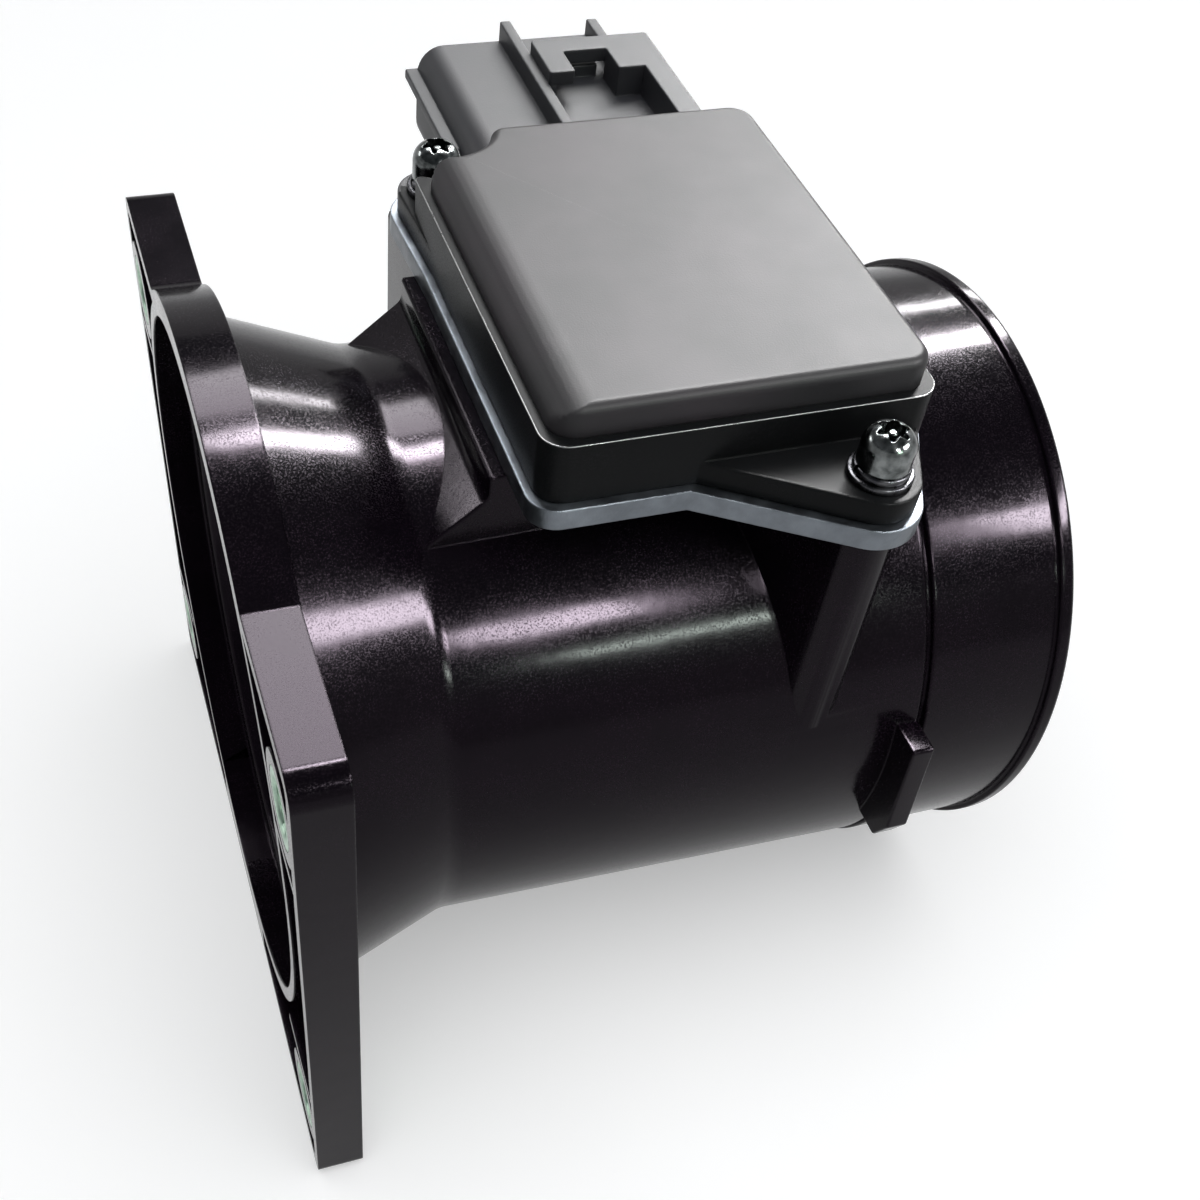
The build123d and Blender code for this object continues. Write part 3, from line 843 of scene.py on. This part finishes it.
@dataclass
class ModuleOutline:
    """The outline that the plate, the case and the lid share."""

    x0: float = 30.7
    x1: float = 77.0
    half: float = 28.4
    corner: float = 3.4
    ear: float = 5.6
    near_bend: float = 48.0
    near_rise: float = 4.0
    far_run: float = 14.0
    wall_inset: float = 0.9
    notch: float = 5.2

    def with_ears(self, inset: float) -> list[Pair]:
        """Return the outline with both ears.

        Args:
            inset: How far it is pulled in.

        Returns:
            The closed outline.
        """
        x0, x1, half = self.x0 + inset, self.x1 - inset, self.half - inset
        radius = self.ear - inset
        bend = (self.near_bend + inset, -half)
        rise = (x1, -half + self.near_rise)
        near = wrapped(LAYOUT.near_screw, radius, bend, rise)
        low = (x0, self.half - self.far_run)
        cross = math.degrees(math.asin((half - LAYOUT.far_screw[1]) / radius))
        stop = tangent_angle(low, LAYOUT.far_screw, radius, -1)
        far = arc(LAYOUT.far_screw, radius, cross, stop + (360 if stop < cross else 0), 22)
        first = arc((x0 + self.corner, -half + self.corner), self.corner, 180, 270, 10)
        last = arc((x1 - self.corner, half - self.corner), self.corner, 0, 90, 10)
        return [*first, bend, *near, rise, *last, *far, low]

    def walls(self, inset: float, corner: float = 3.0, turn: float = 0.8) -> list[Pair]:
        """Return the raised wall's outline, with the notch round the far screw.

        Args:
            inset: How far it is pulled in from the wall's outer face.
            corner: Corner radius.
            turn: Radius of the two corners where the notch begins and ends.

        Returns:
            The closed outline.
        """
        side = self.wall_inset + inset
        x0, x1, half = self.x0 + side, self.x1 - side, self.half - side
        far_x, far_y = LAYOUT.far_screw
        radius = self.notch + inset
        reach = radius + turn
        top_y = half - turn
        top_x = far_x + math.sqrt(reach ** 2 - (top_y - far_y) ** 2)
        side_x = x0 + turn
        side_y = far_y - math.sqrt(reach ** 2 - (side_x - far_x) ** 2)
        top = math.degrees(math.atan2(top_y - far_y, top_x - far_x))
        left = math.degrees(math.atan2(side_y - far_y, side_x - far_x))
        return [*arc((x0 + corner, -half + corner), corner, 180, 270, 8),
                *arc((x1 - corner, -half + corner), corner, 270, 360, 8),
                *arc((x1 - corner, half - corner), corner, 0, 90, 8),
                *arc((top_x, top_y), turn, 90, top + 180, 6),
                *arc((far_x, far_y), radius, top, left, 22),
                *arc((side_x, side_y), turn, left + 180, 180, 6)]


OUTLINE = ModuleOutline()


@dataclass
class BasePlate:
    """The cast aluminium plate under the case."""

    edge: float = 0.25

    def build(self) -> None:
        """Make the plate with its two screw holes and the arm's opening."""
        low, high = LAYOUT.pad_top, LAYOUT.plate_top
        plate = Solid.prism(OUTLINE.with_ears(0.0), low, high).soften(self.edge, 2)
        holes = [Solid.rod(LAYOUT.screw_hole, low - PAST, high + PAST, 36, Along.Z, (x, y, 0))
                 for x, y in LAYOUT.screws()]
        holes.append(Solid.prism(rectangle(*LAYOUT.neck), low - PAST, high + PAST))
        plate.cut(*holes)
        plate.piece("cast_plate", PLATE, "base_plate", "plate")


@dataclass
class Blades:
    """The tinned connector blades, and the slots that they pass through."""

    back_y: float = 16.5
    tip_y: float = 51.0
    tip_edge: float = 0.3

    def side(self) -> list[Pair]:
        """Return the side view of a blade, with its two bends."""
        return [(self.back_y, 46.3), (29.6, 46.3), (33.0, 43.05), (self.tip_y, 43.05), (self.tip_y, 43.85),
                (33.4, 43.85), (30.0, 47.1), (self.back_y, 47.1)]

    def solid(self, outline: Sequence[Pair], x: float) -> Solid:
        """Return one blade's solid at a place along X."""
        return Solid.prism(outline, x - LAYOUT.blade_half, x + LAYOUT.blade_half, Along.X)

    def build(self) -> None:
        """Make each blade with a pointed tip."""
        side = rounded([(y, z, 0.25 if 29 < y < 34 else 0.0) for y, z in self.side()], 3)
        for i, x in enumerate(LAYOUT.blade_xs, 1):
            blade = self.solid(side, x)
            blade.soften(self.tip_edge, 1, 60, lambda p: p.y > self.tip_y - 0.5)
            blade.piece("blade_%d" % i, TIN, "terminal_%d" % i, "terminal")


@dataclass
class SensorCase:
    """The case walls with the connector shell, its fins and the lock bridge."""

    wall: float = 1.9
    inner_corner: float = 1.6
    shell_x: Pair = (41.0, 70.0)
    shell_z: Pair = (36.8, 50.1)
    shell_y: Pair = (26.5, 57.0)
    shell_corner: float = 3.6
    shell_wall: float = 1.7
    socket_corner: float = 1.9
    socket_floor: float = 38.5
    room_low: Triple = (30.0, 18.0, 20.0)
    room_high: Pair = (78.0, 28.8)
    ear_room: float = 6.0
    fin_start: float = 27.5
    fin_root: float = 1.0
    fin_edge: float = 0.25
    side_fin: tuple[Triple, Triple] = ((39.4, 36.0, 45.9), (42.0, 57.0, 47.2))
    bridge_x: Pair = (53.9, 70.0)
    bridge_y: Pair = (40.0, 48.5)
    bridge_notch: Triple = (57.3, 63.2, 45.1)
    bridge_lift: Pair = (2.1, 3.9)
    catch_x: Pair = (58.0, 62.5)
    catch_y: Triple = (45.6, 46.6, 50.4)
    # Depth below the rim top whose sloping faces carry the painted highlight.
    highlight_band: float = 0.6
    shell_border: float = 27.6
    fin_low: float = 49.5

    def walls(self) -> Solid:
        """Return the case walls and the low ears."""
        floor, ear_top = LAYOUT.plate_top, LAYOUT.ear_top
        low = Solid.prism(OUTLINE.with_ears(OUTLINE.wall_inset), floor, ear_top).soften(0.35, 2)
        high = Solid.prism(OUTLINE.walls(0.0), floor + 0.2, LAYOUT.rim).soften(0.5, 3)
        front = -OUTLINE.half + OUTLINE.wall_inset
        case = low.join(high)
        return case.soften(1.5, 5, 60, lambda p: abs(p.z - ear_top) < 0.01 and abs(p.y - front) < 0.01)

    def shell(self) -> Solid:
        """Return the connector shell, cut back round the plate."""
        floor = LAYOUT.plate_top
        start, end = self.shell_y
        face = rectangle(*self.shell_x, *self.shell_z, self.shell_corner, 8)
        shell = Solid.prism(face, start, end, Along.Y).soften(0.4, 2, 60, lambda p: p.y > end - 1)
        under = Solid.block(self.room_low, (*self.room_high, floor))
        ear = Solid.rod(self.ear_room, self.room_low[2], floor, 48, Along.Z, (*LAYOUT.far_screw, 0))
        return shell.cut(under, ear)

    def fins(self) -> list[Solid]:
        """Return the side fin, the two guide fins, the bridge and the catch."""
        top = self.shell_z[1]
        end = self.shell_y[1]
        root = top - self.fin_root
        x0, x1 = self.bridge_x
        y0, y1 = self.bridge_y
        notch0, notch1, notch_y = self.bridge_notch
        under, over = (top + lift for lift in self.bridge_lift)
        blocks = [
            self.side_fin,
            ((x0 - 1.5, self.fin_start, root), (x0, end, top + 2.5)),  # long guide fin
            ((64.7, 44.0, root), (66.2, end, top + 2.0)),  # short guide fin
            ((x1 - 3.2, self.fin_start, root), (x1, y1, over)),  # the bridge's thick leg
            ((notch1, y0, root), (x1 - 3.0, notch_y, over)),  # the leg's step beside the notch
            ((x0, y0, root), (x0 + 1.1, y1, under + 0.1)),  # the bridge's thin leg
        ]
        parts = [Solid.block(low, high).soften(self.fin_edge, 2) for low, high in blocks]
        bridge = [(x0, y0, 0.3), (notch0, y0, 0.3), (notch0, notch_y, 0.3), (notch1, notch_y, 0.3),
                  (notch1, y0, 0.3), (x1, y0, 0.3), (x1, y1, 0.5), (x0, y1, 0.5)]
        parts.append(Solid.prism(rounded(bridge, 3), under, over).soften(0.2, 2, 60))
        back, peak, front = self.catch_y
        catch = [(back, top - 0.5), (front, top - 0.5), (front, top), (peak, top + 1.5), (back, top + 1.5)]
        parts.append(Solid.prism(catch, *self.catch_x, Along.X).soften(0.15, 2))
        return parts

    def cavities(self) -> list[Solid]:
        """Return the hollow of the case, the socket, the blade slots and the screw holes."""
        hollow = OUTLINE.walls(self.wall, self.inner_corner)
        holes = [Solid.prism(hollow, LAYOUT.plate_top - PAST, LAYOUT.rim + PAST)]
        x0, x1 = self.shell_x
        z0, z1 = self.shell_z
        wall = self.shell_wall
        socket = rectangle(x0 + wall, x1 - wall, z0 + wall, z1 - wall, self.socket_corner, 6)
        holes.append(Solid.prism(socket, self.socket_floor, self.shell_y[1] + PAST, Along.Y))
        blades = Blades()
        holes.extend(blades.solid(blades.side(), x) for x in LAYOUT.blade_xs)
        holes.extend(Solid.rod(LAYOUT.screw_hole, 40, 60, 36, Along.Z, (x, y, 0)) for x, y in LAYOUT.screws())
        return holes

    def build(self) -> None:
        """Make the case piece, with the matt shell and the rim's painted highlight as slots of their own."""
        case = self.walls().join(self.shell(), *self.fins()).cut(*self.cavities())
        made = case.piece("sensor_case", CASE, "module_case", "case")
        made.data.materials.append(SHELL.material())
        made.data.materials.append(RIM_HIGHLIGHT.material())
        for face in made.data.polygons:
            y, z = face.center.y / MM, face.center.z / MM
            if y > self.shell_border or (z > self.fin_low and y > self.fin_start):
                face.material_index = 1
            # Sloping faces along the rim's top edge take the rim material: a painted highlight line.
            elif z > LAYOUT.rim - self.highlight_band and 0.05 < face.normal.z < 0.98:
                face.material_index = 2


@dataclass
class CaseLid:
    """The matt lid: a slab with soft edges and a plug that drops inside the case wall."""

    edge: float = 1.2
    roll_width: float = 4.5
    roll_depth: float = 3.4
    corner: float = 3.0
    notch_corner: float = 1.8
    inset: float = 1.1
    plug_inset: float = 2.4
    plug_depth: float = 1.6
    skirt: float = 1.4

    def outline(self, level: float) -> list[Pair]:
        """Return the lid's outline at one height.

        Args:
            level: The height.

        Returns:
            The outline: pulled in by the small edge all round, and by the wide roll on the intake side.
        """
        below = level - LAYOUT.lid_top
        up = max(0.0, below + self.edge) / self.edge
        pulled = self.edge * (1 - math.sqrt(max(0.0, 1 - up ** 2)))
        rolled = max(0.0, below + self.roll_depth) / self.roll_depth
        side = OUTLINE.x0 + OUTLINE.wall_inset + self.inset
        start = side + self.roll_width * (1 - math.sqrt(max(0.0, 1 - rolled ** 2)))
        edge = OUTLINE.walls(self.inset + pulled, self.corner - pulled, self.notch_corner - pulled)
        return [(max(x, start), y) for x, y in edge]

    def build(self) -> None:
        """Make the lid piece."""
        base, top = LAYOUT.rim, LAYOUT.lid_top
        levels = {base}
        for depth in (self.roll_depth, self.edge):
            levels.add(top - depth)
            for k in range(1, 10):
                levels.add(round(top - depth * (1 - math.sin(math.radians(10 * k))), 4))
        slab = Solid.stacked([(self.outline(level), level) for level in sorted(levels)])
        plug = Solid.prism(OUTLINE.walls(self.plug_inset, 1.4), base - self.plug_depth, base + 0.2)
        hollow = Solid.prism(OUTLINE.walls(self.plug_inset + self.skirt, 1.2), base - 3, base + 1.6)
        slab.join(plug).cut(hollow)
        slab.piece("case_lid", LID, "lid", "lid")


@dataclass
class CaseScrew:
    """A domed screw with a six-lobed recess round a pin, on a spring washer and a flat washer."""

    name: str
    centre: Pair
    washer_radius: float = 3.6
    washer_depth: float = 0.8
    spring_radius: float = 3.15
    spring_depth: float = 0.8
    spring_gap: float = 0.25
    head_radius: float = 2.95
    head_height: float = 4.3
    dome: float = 2.1
    shank: float = 1.75
    shank_end: float = 33.5
    lobes: int = 6
    recess_radius: float = 1.55
    recess_wave: float = 0.32
    recess_depth: float = 2.0
    pin_radius: float = 0.5
    pin_sunk: float = 0.35

    def ring(self, low: float, high: float, radius: float, edges: Pair) -> Solid:
        """Return a washer with rounded outer edges.

        Args:
            low: Its lower face.
            high: Its upper face.
            radius: Outer radius.
            edges: Rounding of the lower and the upper outer edge.

        Returns:
            The ring round the shank.
        """
        profile = rounded([(low, self.shank, 0), (low, radius, edges[0]), (high, radius, edges[1]),
                           (high, self.shank, 0)], 3)
        return Solid.turned(profile, 64, Along.Z, (*self.centre, 0))

    def recess(self, crown: float) -> Solid:
        """Return the lobed recess below the crown."""
        x, y = self.centre
        outline = []
        for k in range(96):
            angle = 2 * math.pi * k / 96
            reach = self.recess_radius + self.recess_wave * math.cos(self.lobes * angle)
            outline.append((x + reach * math.cos(angle), y + reach * math.sin(angle)))
        return Solid.prism(outline, crown - self.recess_depth, crown + PAST)

    def build(self) -> None:
        """Make the two washers and the screw."""
        x, y = self.centre
        spot = (x, y, 0)
        seat = LAYOUT.ear_top
        step = seat + self.washer_depth
        base = step + self.spring_depth
        crown = base + self.head_height
        washer = self.ring(seat, step, self.washer_radius, (0.1, 0.2))
        washer.piece("ring_" + self.name, WASHER, "washer_" + self.name, "screw")
        spring = self.ring(step, base, self.spring_radius, (0.2, 0.25))
        gap = self.spring_gap
        spring.cut(Solid.block((x - 4, y - gap, step - PAST), (x, y + gap, base + PAST)))
        spring.piece("spring_ring_" + self.name, WASHER, "spring_washer_" + self.name, "screw")
        head = rounded([(self.shank_end, 0, 0), (self.shank_end, self.shank, 0.4), (base, self.shank, 0),
                        (base, self.head_radius, 0.2), (crown, self.head_radius, self.dome),
                        (crown, 0, 0)], 9)
        tip = crown - self.pin_sunk
        pin = rounded([(crown - 3, 0, 0), (crown - 3, self.pin_radius, 0), (tip, self.pin_radius, 0.25),
                       (tip, 0, 0)], 4)
        screw = Solid.turned(head, 64, Along.Z, spot).cut(self.recess(crown))
        screw.join(Solid.turned(pin, 24, Along.Z, spot))
        screw.piece("screw_head_" + self.name, SCREW, "screw_" + self.name, "screw")


@dataclass
class BypassDuct:
    """The arm that hangs into the air stream, with its passage, elements and bead."""

    x: Pair = (42.5, 63.5)
    half: float = 8.5
    low: float = -9.5
    corner: float = 4.5
    passage: float = 5.6
    window: tuple[float, ...] = (-3.4, 3.4, 10.5, 24.0, 1.0, 4)
    element_xs: Pair = (50.5, 56.5)
    prong_y: float = 2.6
    prong_radius: float = 0.45
    prong_tip: float = -0.8
    element_radius: float = 0.5
    element_half: float = 1.2
    wire_radius: float = 0.25
    lead_x: float = 47.6
    lead_y: float = 1.2
    lead_radius: float = 0.3
    bead_z: float = 15.0
    bead_radius: float = 1.4
    hole_top: float = 46.0

    def prongs(self) -> list[Pair]:
        """Return the place of each prong."""
        return [(x, y) for x in self.element_xs for y in (-self.prong_y, self.prong_y)]

    def arm(self) -> None:
        """Make the moulded arm."""
        x0, x1 = self.x
        arm = Solid.prism(rectangle(x0, x1, -self.half, self.half, self.corner, 10), self.low, LAYOUT.pad_top)
        arm.soften(0.8, 3, 60, lambda p: p.z < self.low + 0.1)
        neck = Solid.prism(rectangle(*LAYOUT.neck), LAYOUT.pad_top - PAST, LAYOUT.plate_top)
        wide, wider = self.passage + 1.0, self.passage + 1.3
        flare = rounded([(x0 - 2, 0, 0), (x0 - 2, wider, 0), (x0 + 0.3, wide, 0), (x0 + 2, self.passage, 1.5),
                         (x1 - 2, self.passage, 1.5), (x1 - 0.3, wide, 0), (x1 + 2, wider, 0),
                         (x1 + 2, 0, 0)], 4)
        holes = [Solid.turned(flare, 72),
                 Solid.prism(rectangle(*self.window), x0 - PAST, self.lead_x + 2, Along.X)]
        for x, y in self.prongs():
            holes.append(Solid.rod(self.prong_radius, 0, self.hole_top, 16, Along.Z, (x, y, 0)))
        for y in (-self.lead_y, self.lead_y):
            holes.append(Solid.rod(self.lead_radius, self.bead_z, self.hole_top, 12, Along.Z,
                                   (self.lead_x, y, 0)))
        arm.join(neck).cut(*holes).piece("bypass_arm", DUCT, "bypass_duct", "duct")

    def elements(self) -> None:
        """Make the prongs and the two elements between them."""
        top = LAYOUT.plate_top
        prong = rounded([(self.prong_tip, 0, 0), (self.prong_tip, self.prong_radius, 0.2),
                         (top, self.prong_radius, 0), (top, 0, 0)], 3)
        for i, spot in enumerate(self.prongs(), 1):
            made = Solid.turned(prong, 24, Along.Z, (*spot, 0))
            made.piece("prong_pin_%d" % i, NICKEL, "prong_%d" % i, "prong")
        end, middle = self.prong_y, self.element_half
        thin, thick = self.wire_radius, self.element_radius
        bar = rounded([(-end, 0, 0), (-end, thin, 0), (-middle, thin, 0), (-middle, thick, 0.15),
                       (middle, thick, 0.15), (middle, thin, 0), (end, thin, 0), (end, 0, 0)], 3)
        for name, x in zip(("hot", "cold"), self.element_xs):
            made = Solid.turned(bar, 20, Along.Y, (x, 0, 0))
            made.piece(name + "_bar", PLATINUM, name + "_element", "element")

    def bead(self) -> None:
        """Make the air temperature bead and its two leads."""
        ball = [(self.bead_z + r, z) for r, z in arc((0, 0), self.bead_radius, 180, 0, 14)]
        ball[0] = (ball[0][0], 0.0)
        ball[-1] = (ball[-1][0], 0.0)
        bead = Solid.turned(ball, 32, Along.Z, (self.lead_x, 0, 0))
        bead.piece("air_bead", GLASS_BEAD, "temp_bead", "bead")
        for name, y in (("a", -self.lead_y), ("b", self.lead_y)):
            lead = Solid.rod(self.lead_radius, self.bead_z, LAYOUT.plate_top, 16, Along.Z,
                             (self.lead_x, y, 0))
            lead.piece("bead_wire_" + name, NICKEL, "bead_lead_" + name, "prong")

    def build(self) -> None:
        """Make the arm and what it carries."""
        self.arm()
        self.elements()
        self.bead()


@dataclass
class CarriedParts:
    """CAD parts whose shape stays, each with its own finish."""

    finishes: dict[str, Finish] = field(default_factory=lambda: {
        "thread_insert_near": BRASS, "thread_insert_far": BRASS, "plate_seal": RUBBER, "lid_bead": ADHESIVE,
        "circuit_board": CERAMIC, "signal_chip": CHIP, "driver_chip": CHIP, "capacitor_a": CHIP,
        "capacitor_b": CHIP, "trim_resistor": CHIP})

    def build(self) -> None:
        """Give each carried part its material."""
        for node, finish in self.finishes.items():
            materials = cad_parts[node].data.materials
            materials.clear()
            materials.append(finish.material())
            log.info("carried over %s as %s", node, finish.name)


@dataclass(frozen=True)
class Lamp:
    """One rectangular panel or tube that faces the object.

    Attributes:
        name: The lamp's name.
        place: Where it hangs, seen from the object.
        size: Its length and width in metres.
        radiance: Brightness of its surface, where 1 is white.
        colour: Colour of its light.
        run: The direction of its length.
        distance: How far away it hangs, in metres.
        fills: True for the lamp that lights the matt surfaces, False for one seen only in gloss.
    """

    name: str
    place: Triple
    size: Pair
    radiance: float
    colour: Colour = (1.0, 1.0, 1.0)
    run: Triple = (0.886, 0.464, 0.0)
    distance: float = 1.2
    fills: bool = False

    def hang(self, aim: Vector) -> None:
        """Hang the lamp so that it faces a point."""
        data = bpy.data.lights.new(self.name, "AREA")
        data.shape = "RECTANGLE"
        data.size, data.size_y = self.size
        data.energy = self.radiance * math.pi * self.size[0] * self.size[1]
        data.color = self.colour
        made = linked(self.name, data)
        away = Vector(self.place).normalized()
        run = Vector(self.run)
        run = (run - away * run.dot(away)).normalized()
        turn = Matrix((run, away.cross(run), away)).transposed().to_4x4()
        made.matrix_world = Matrix.Translation(aim + away * self.distance) @ turn
        made.visible_glossy = not self.fills
        made.visible_diffuse = self.fills


@dataclass
class Studio:
    """The floor, the wall round it, the lamps, the sky and the camera."""

    flange_foot: Pair = (6.25, -49.0)
    lip_foot: Pair = (101.0, -40.0)
    floor_gap: float = 0.05
    floor_reach: float = 3000.0
    floor_glow: float = 0.38
    wall_radius: float = 2.9
    wall_span: Pair = (-0.35, 1.25)
    wall_steps: int = 96
    wall_colour: Colour = (0.4, 0.4, 0.4)
    wall_glow: float = 0.5
    sky_colour: Colour = (0.9, 0.95, 1.0)
    sky_strength: float = 0.2
    aim: Triple = (50.0, 0.0, 0.0)
    eye: Triple = (-12.1, -134.8, 146.3)
    forward: Triple = (0.2400, 0.5688, -0.7866)
    right: Triple = (0.95154, -0.29835, 0.07452)
    sensor_width: float = 36.0
    focal_px: float = 1481.5
    centre_px: Pair = (520.73, 782.82)
    frame_px: float = 1200.0
    lamps: tuple[Lamp, ...] = (
        Lamp("soft_fill", (0.0, -0.15, 1.0), (1.8, 1.8), 2.05, run=(1.0, 0.0, 0.0), distance=1.4, fills=True),
        Lamp("panel_far", (0.12, 0.82, 1.0), (0.7, 0.34), 26.0),
        Lamp("tube_near_left", (0.345, -1.16, 1.0), (0.16, 0.13), 120.0),
        Lamp("tube_near_right", (1.18, -0.775, 1.0), (0.44, 0.16), 110.0),
        Lamp("tube_top", (0.5, 0.61, 1.0), (1.05, 0.12), 160.0),
        Lamp("tube_far", (1.25, 1.75, 1.0), (0.5, 0.08), 50.0),
        Lamp("tube_back", (-1.7, 1.5, 1.0), (0.4, 0.06), 30.0),
        Lamp("window_near", (0.7, -1.87, 1.0), (0.22, 0.05), 90.0, colour=(0.75, 1.0, 0.78)),
    )

    def camera(self) -> None:
        """Place the camera at the photograph's viewing point."""
        data = bpy.data.cameras.new("camera")
        data.sensor_fit = "HORIZONTAL"
        data.sensor_width = self.sensor_width
        data.lens = self.focal_px / self.frame_px * self.sensor_width
        data.shift_x = (self.frame_px / 2 - self.centre_px[0]) / self.frame_px
        data.shift_y = (self.centre_px[1] - self.frame_px / 2) / self.frame_px
        data.clip_start = 0.005
        made = linked("camera", data)
        forward = Vector(self.forward).normalized()
        right = Vector(self.right)
        right = (right - forward * right.dot(forward)).normalized()
        up = right.cross(forward)
        turn = Matrix((right, up, -forward)).transposed().to_4x4()
        made.matrix_world = Matrix.Translation(Vector(self.eye) * MM) @ turn
        bpy.context.scene.camera = made

    def seen(self, paint: Paint) -> Value:
        """Return 1 for rays from the camera, off gloss or through glass."""
        path = paint.node("ShaderNodeLightPath")
        seen = [paint.value(path.outputs[name]) for name in
                ("Is Camera Ray", "Is Glossy Ray", "Is Transmission Ray")]
        return seen[0] + seen[1] + seen[2] > 0.5

    def paper(self, name: str, glow: float) -> Paint:
        """Return matt paper that looks lighter than the light it sends on.

        Args:
            name: The material's name.
            glow: What it adds to its own brightness where it is seen.

        Returns:
            The material, whose colour is still to be set.
        """
        paint = Paint(name)
        paint.put("Roughness", 0.95)
        paint.put("Specular IOR Level", 0.0)
        light = paint.node("ShaderNodeEmission", inputs={"Color": (1, 1, 1, 1),
                                                         "Strength": self.seen(paint) * glow})
        both = paint.node("ShaderNodeAddShader", inputs={0: paint.shader.outputs[0], 1: light.outputs[0]})
        paint.feed(paint.tree.nodes["Material Output"].inputs["Surface"], both.outputs[0])
        return paint

    def stand(self, name: str, bm: bmesh.types.BMesh, paint: Paint) -> None:
        """Place one piece of the studio, which isn't part of the object."""
        mesh = bpy.data.meshes.new(name)
        bm.to_mesh(mesh)
        bm.free()
        mesh.shade_smooth()
        mesh.materials.append(paint.made)
        made = linked(name, mesh)

    def floor(self) -> None:
        """Lay the pale floor, which keeps the shadow, under the flange's edge and the outlet lip."""
        x0, z0 = self.flange_foot
        x1, z1 = self.lip_foot
        slope = (z1 - z0) / (x1 - x0)
        far = self.floor_reach
        bm = bmesh.new()
        bm.faces.new([bm.verts.new((x * MM, y * MM, (z0 + slope * (x - x0) - self.floor_gap) * MM))
                      for x, y in ((-far, -far), (far, -far), (far, far), (-far, far))])
        paint = self.paper("floor_paper", self.floor_glow)
        tone = paint.between(paint.noise(60.0), (0.78, 0.78, 0.78), (0.80, 0.80, 0.80))
        paint.put("Base Color", tone)
        self.stand("floor", bm, paint)

    def wall(self) -> None:
        """Stand a pale wall round the floor, as high as the side views see."""
        bm = bmesh.new()
        steps = self.wall_steps
        circle = arc((0, 0), self.wall_radius, 0, 360, steps)[:-1]
        rings = [[bm.verts.new((*spot, level)) for spot in circle] for level in self.wall_span]
        for k in range(steps):
            after = (k + 1) % steps
            bm.faces.new((rings[0][k], rings[0][after], rings[1][after], rings[1][k]))
        paint = self.paper("backdrop_paper", self.wall_glow)
        paint.put("Base Color", (*self.wall_colour, 1.0))
        self.stand("backdrop", bm, paint)

    def sky(self) -> None:
        """Light the scene evenly from a dim ceiling."""
        world = bpy.data.worlds.new("room")
        bpy.context.scene.world = world
        world.use_nodes = True
        back = world.node_tree.nodes["Background"]
        back.inputs["Color"].default_value = (*self.sky_colour, 1.0)
        back.inputs["Strength"].default_value = self.sky_strength

    def build(self) -> None:
        """Set up the whole studio."""
        self.camera()
        self.floor()
        self.wall()
        self.sky()
        for lamp in self.lamps:
            lamp.hang(Vector(self.aim) * MM)
        bpy.context.scene.view_settings.view_transform = "Standard"


def main() -> None:
    """Build every assembly in order."""
    logging.basicConfig(level=logging.INFO, format="%(message)s")
    housing = DuctHousing()
    names = ("near_top", "near_bottom", "far_top", "far_bottom")
    bushes = [FlangeBush(name, spot, housing.bush_radius, housing.flange_depth)
              for name, spot in zip(names, housing.bolts)]
    screws = [CaseScrew(name, spot) for name, spot in zip(("near", "far"), LAYOUT.screws())]
    for assembly in [housing, *bushes, BasePlate(), SensorCase(), Blades(), CaseLid(), *screws, BypassDuct(),
                     CarriedParts(), Studio()]:
        assembly.build()


if __name__ == "__main__":
    main()
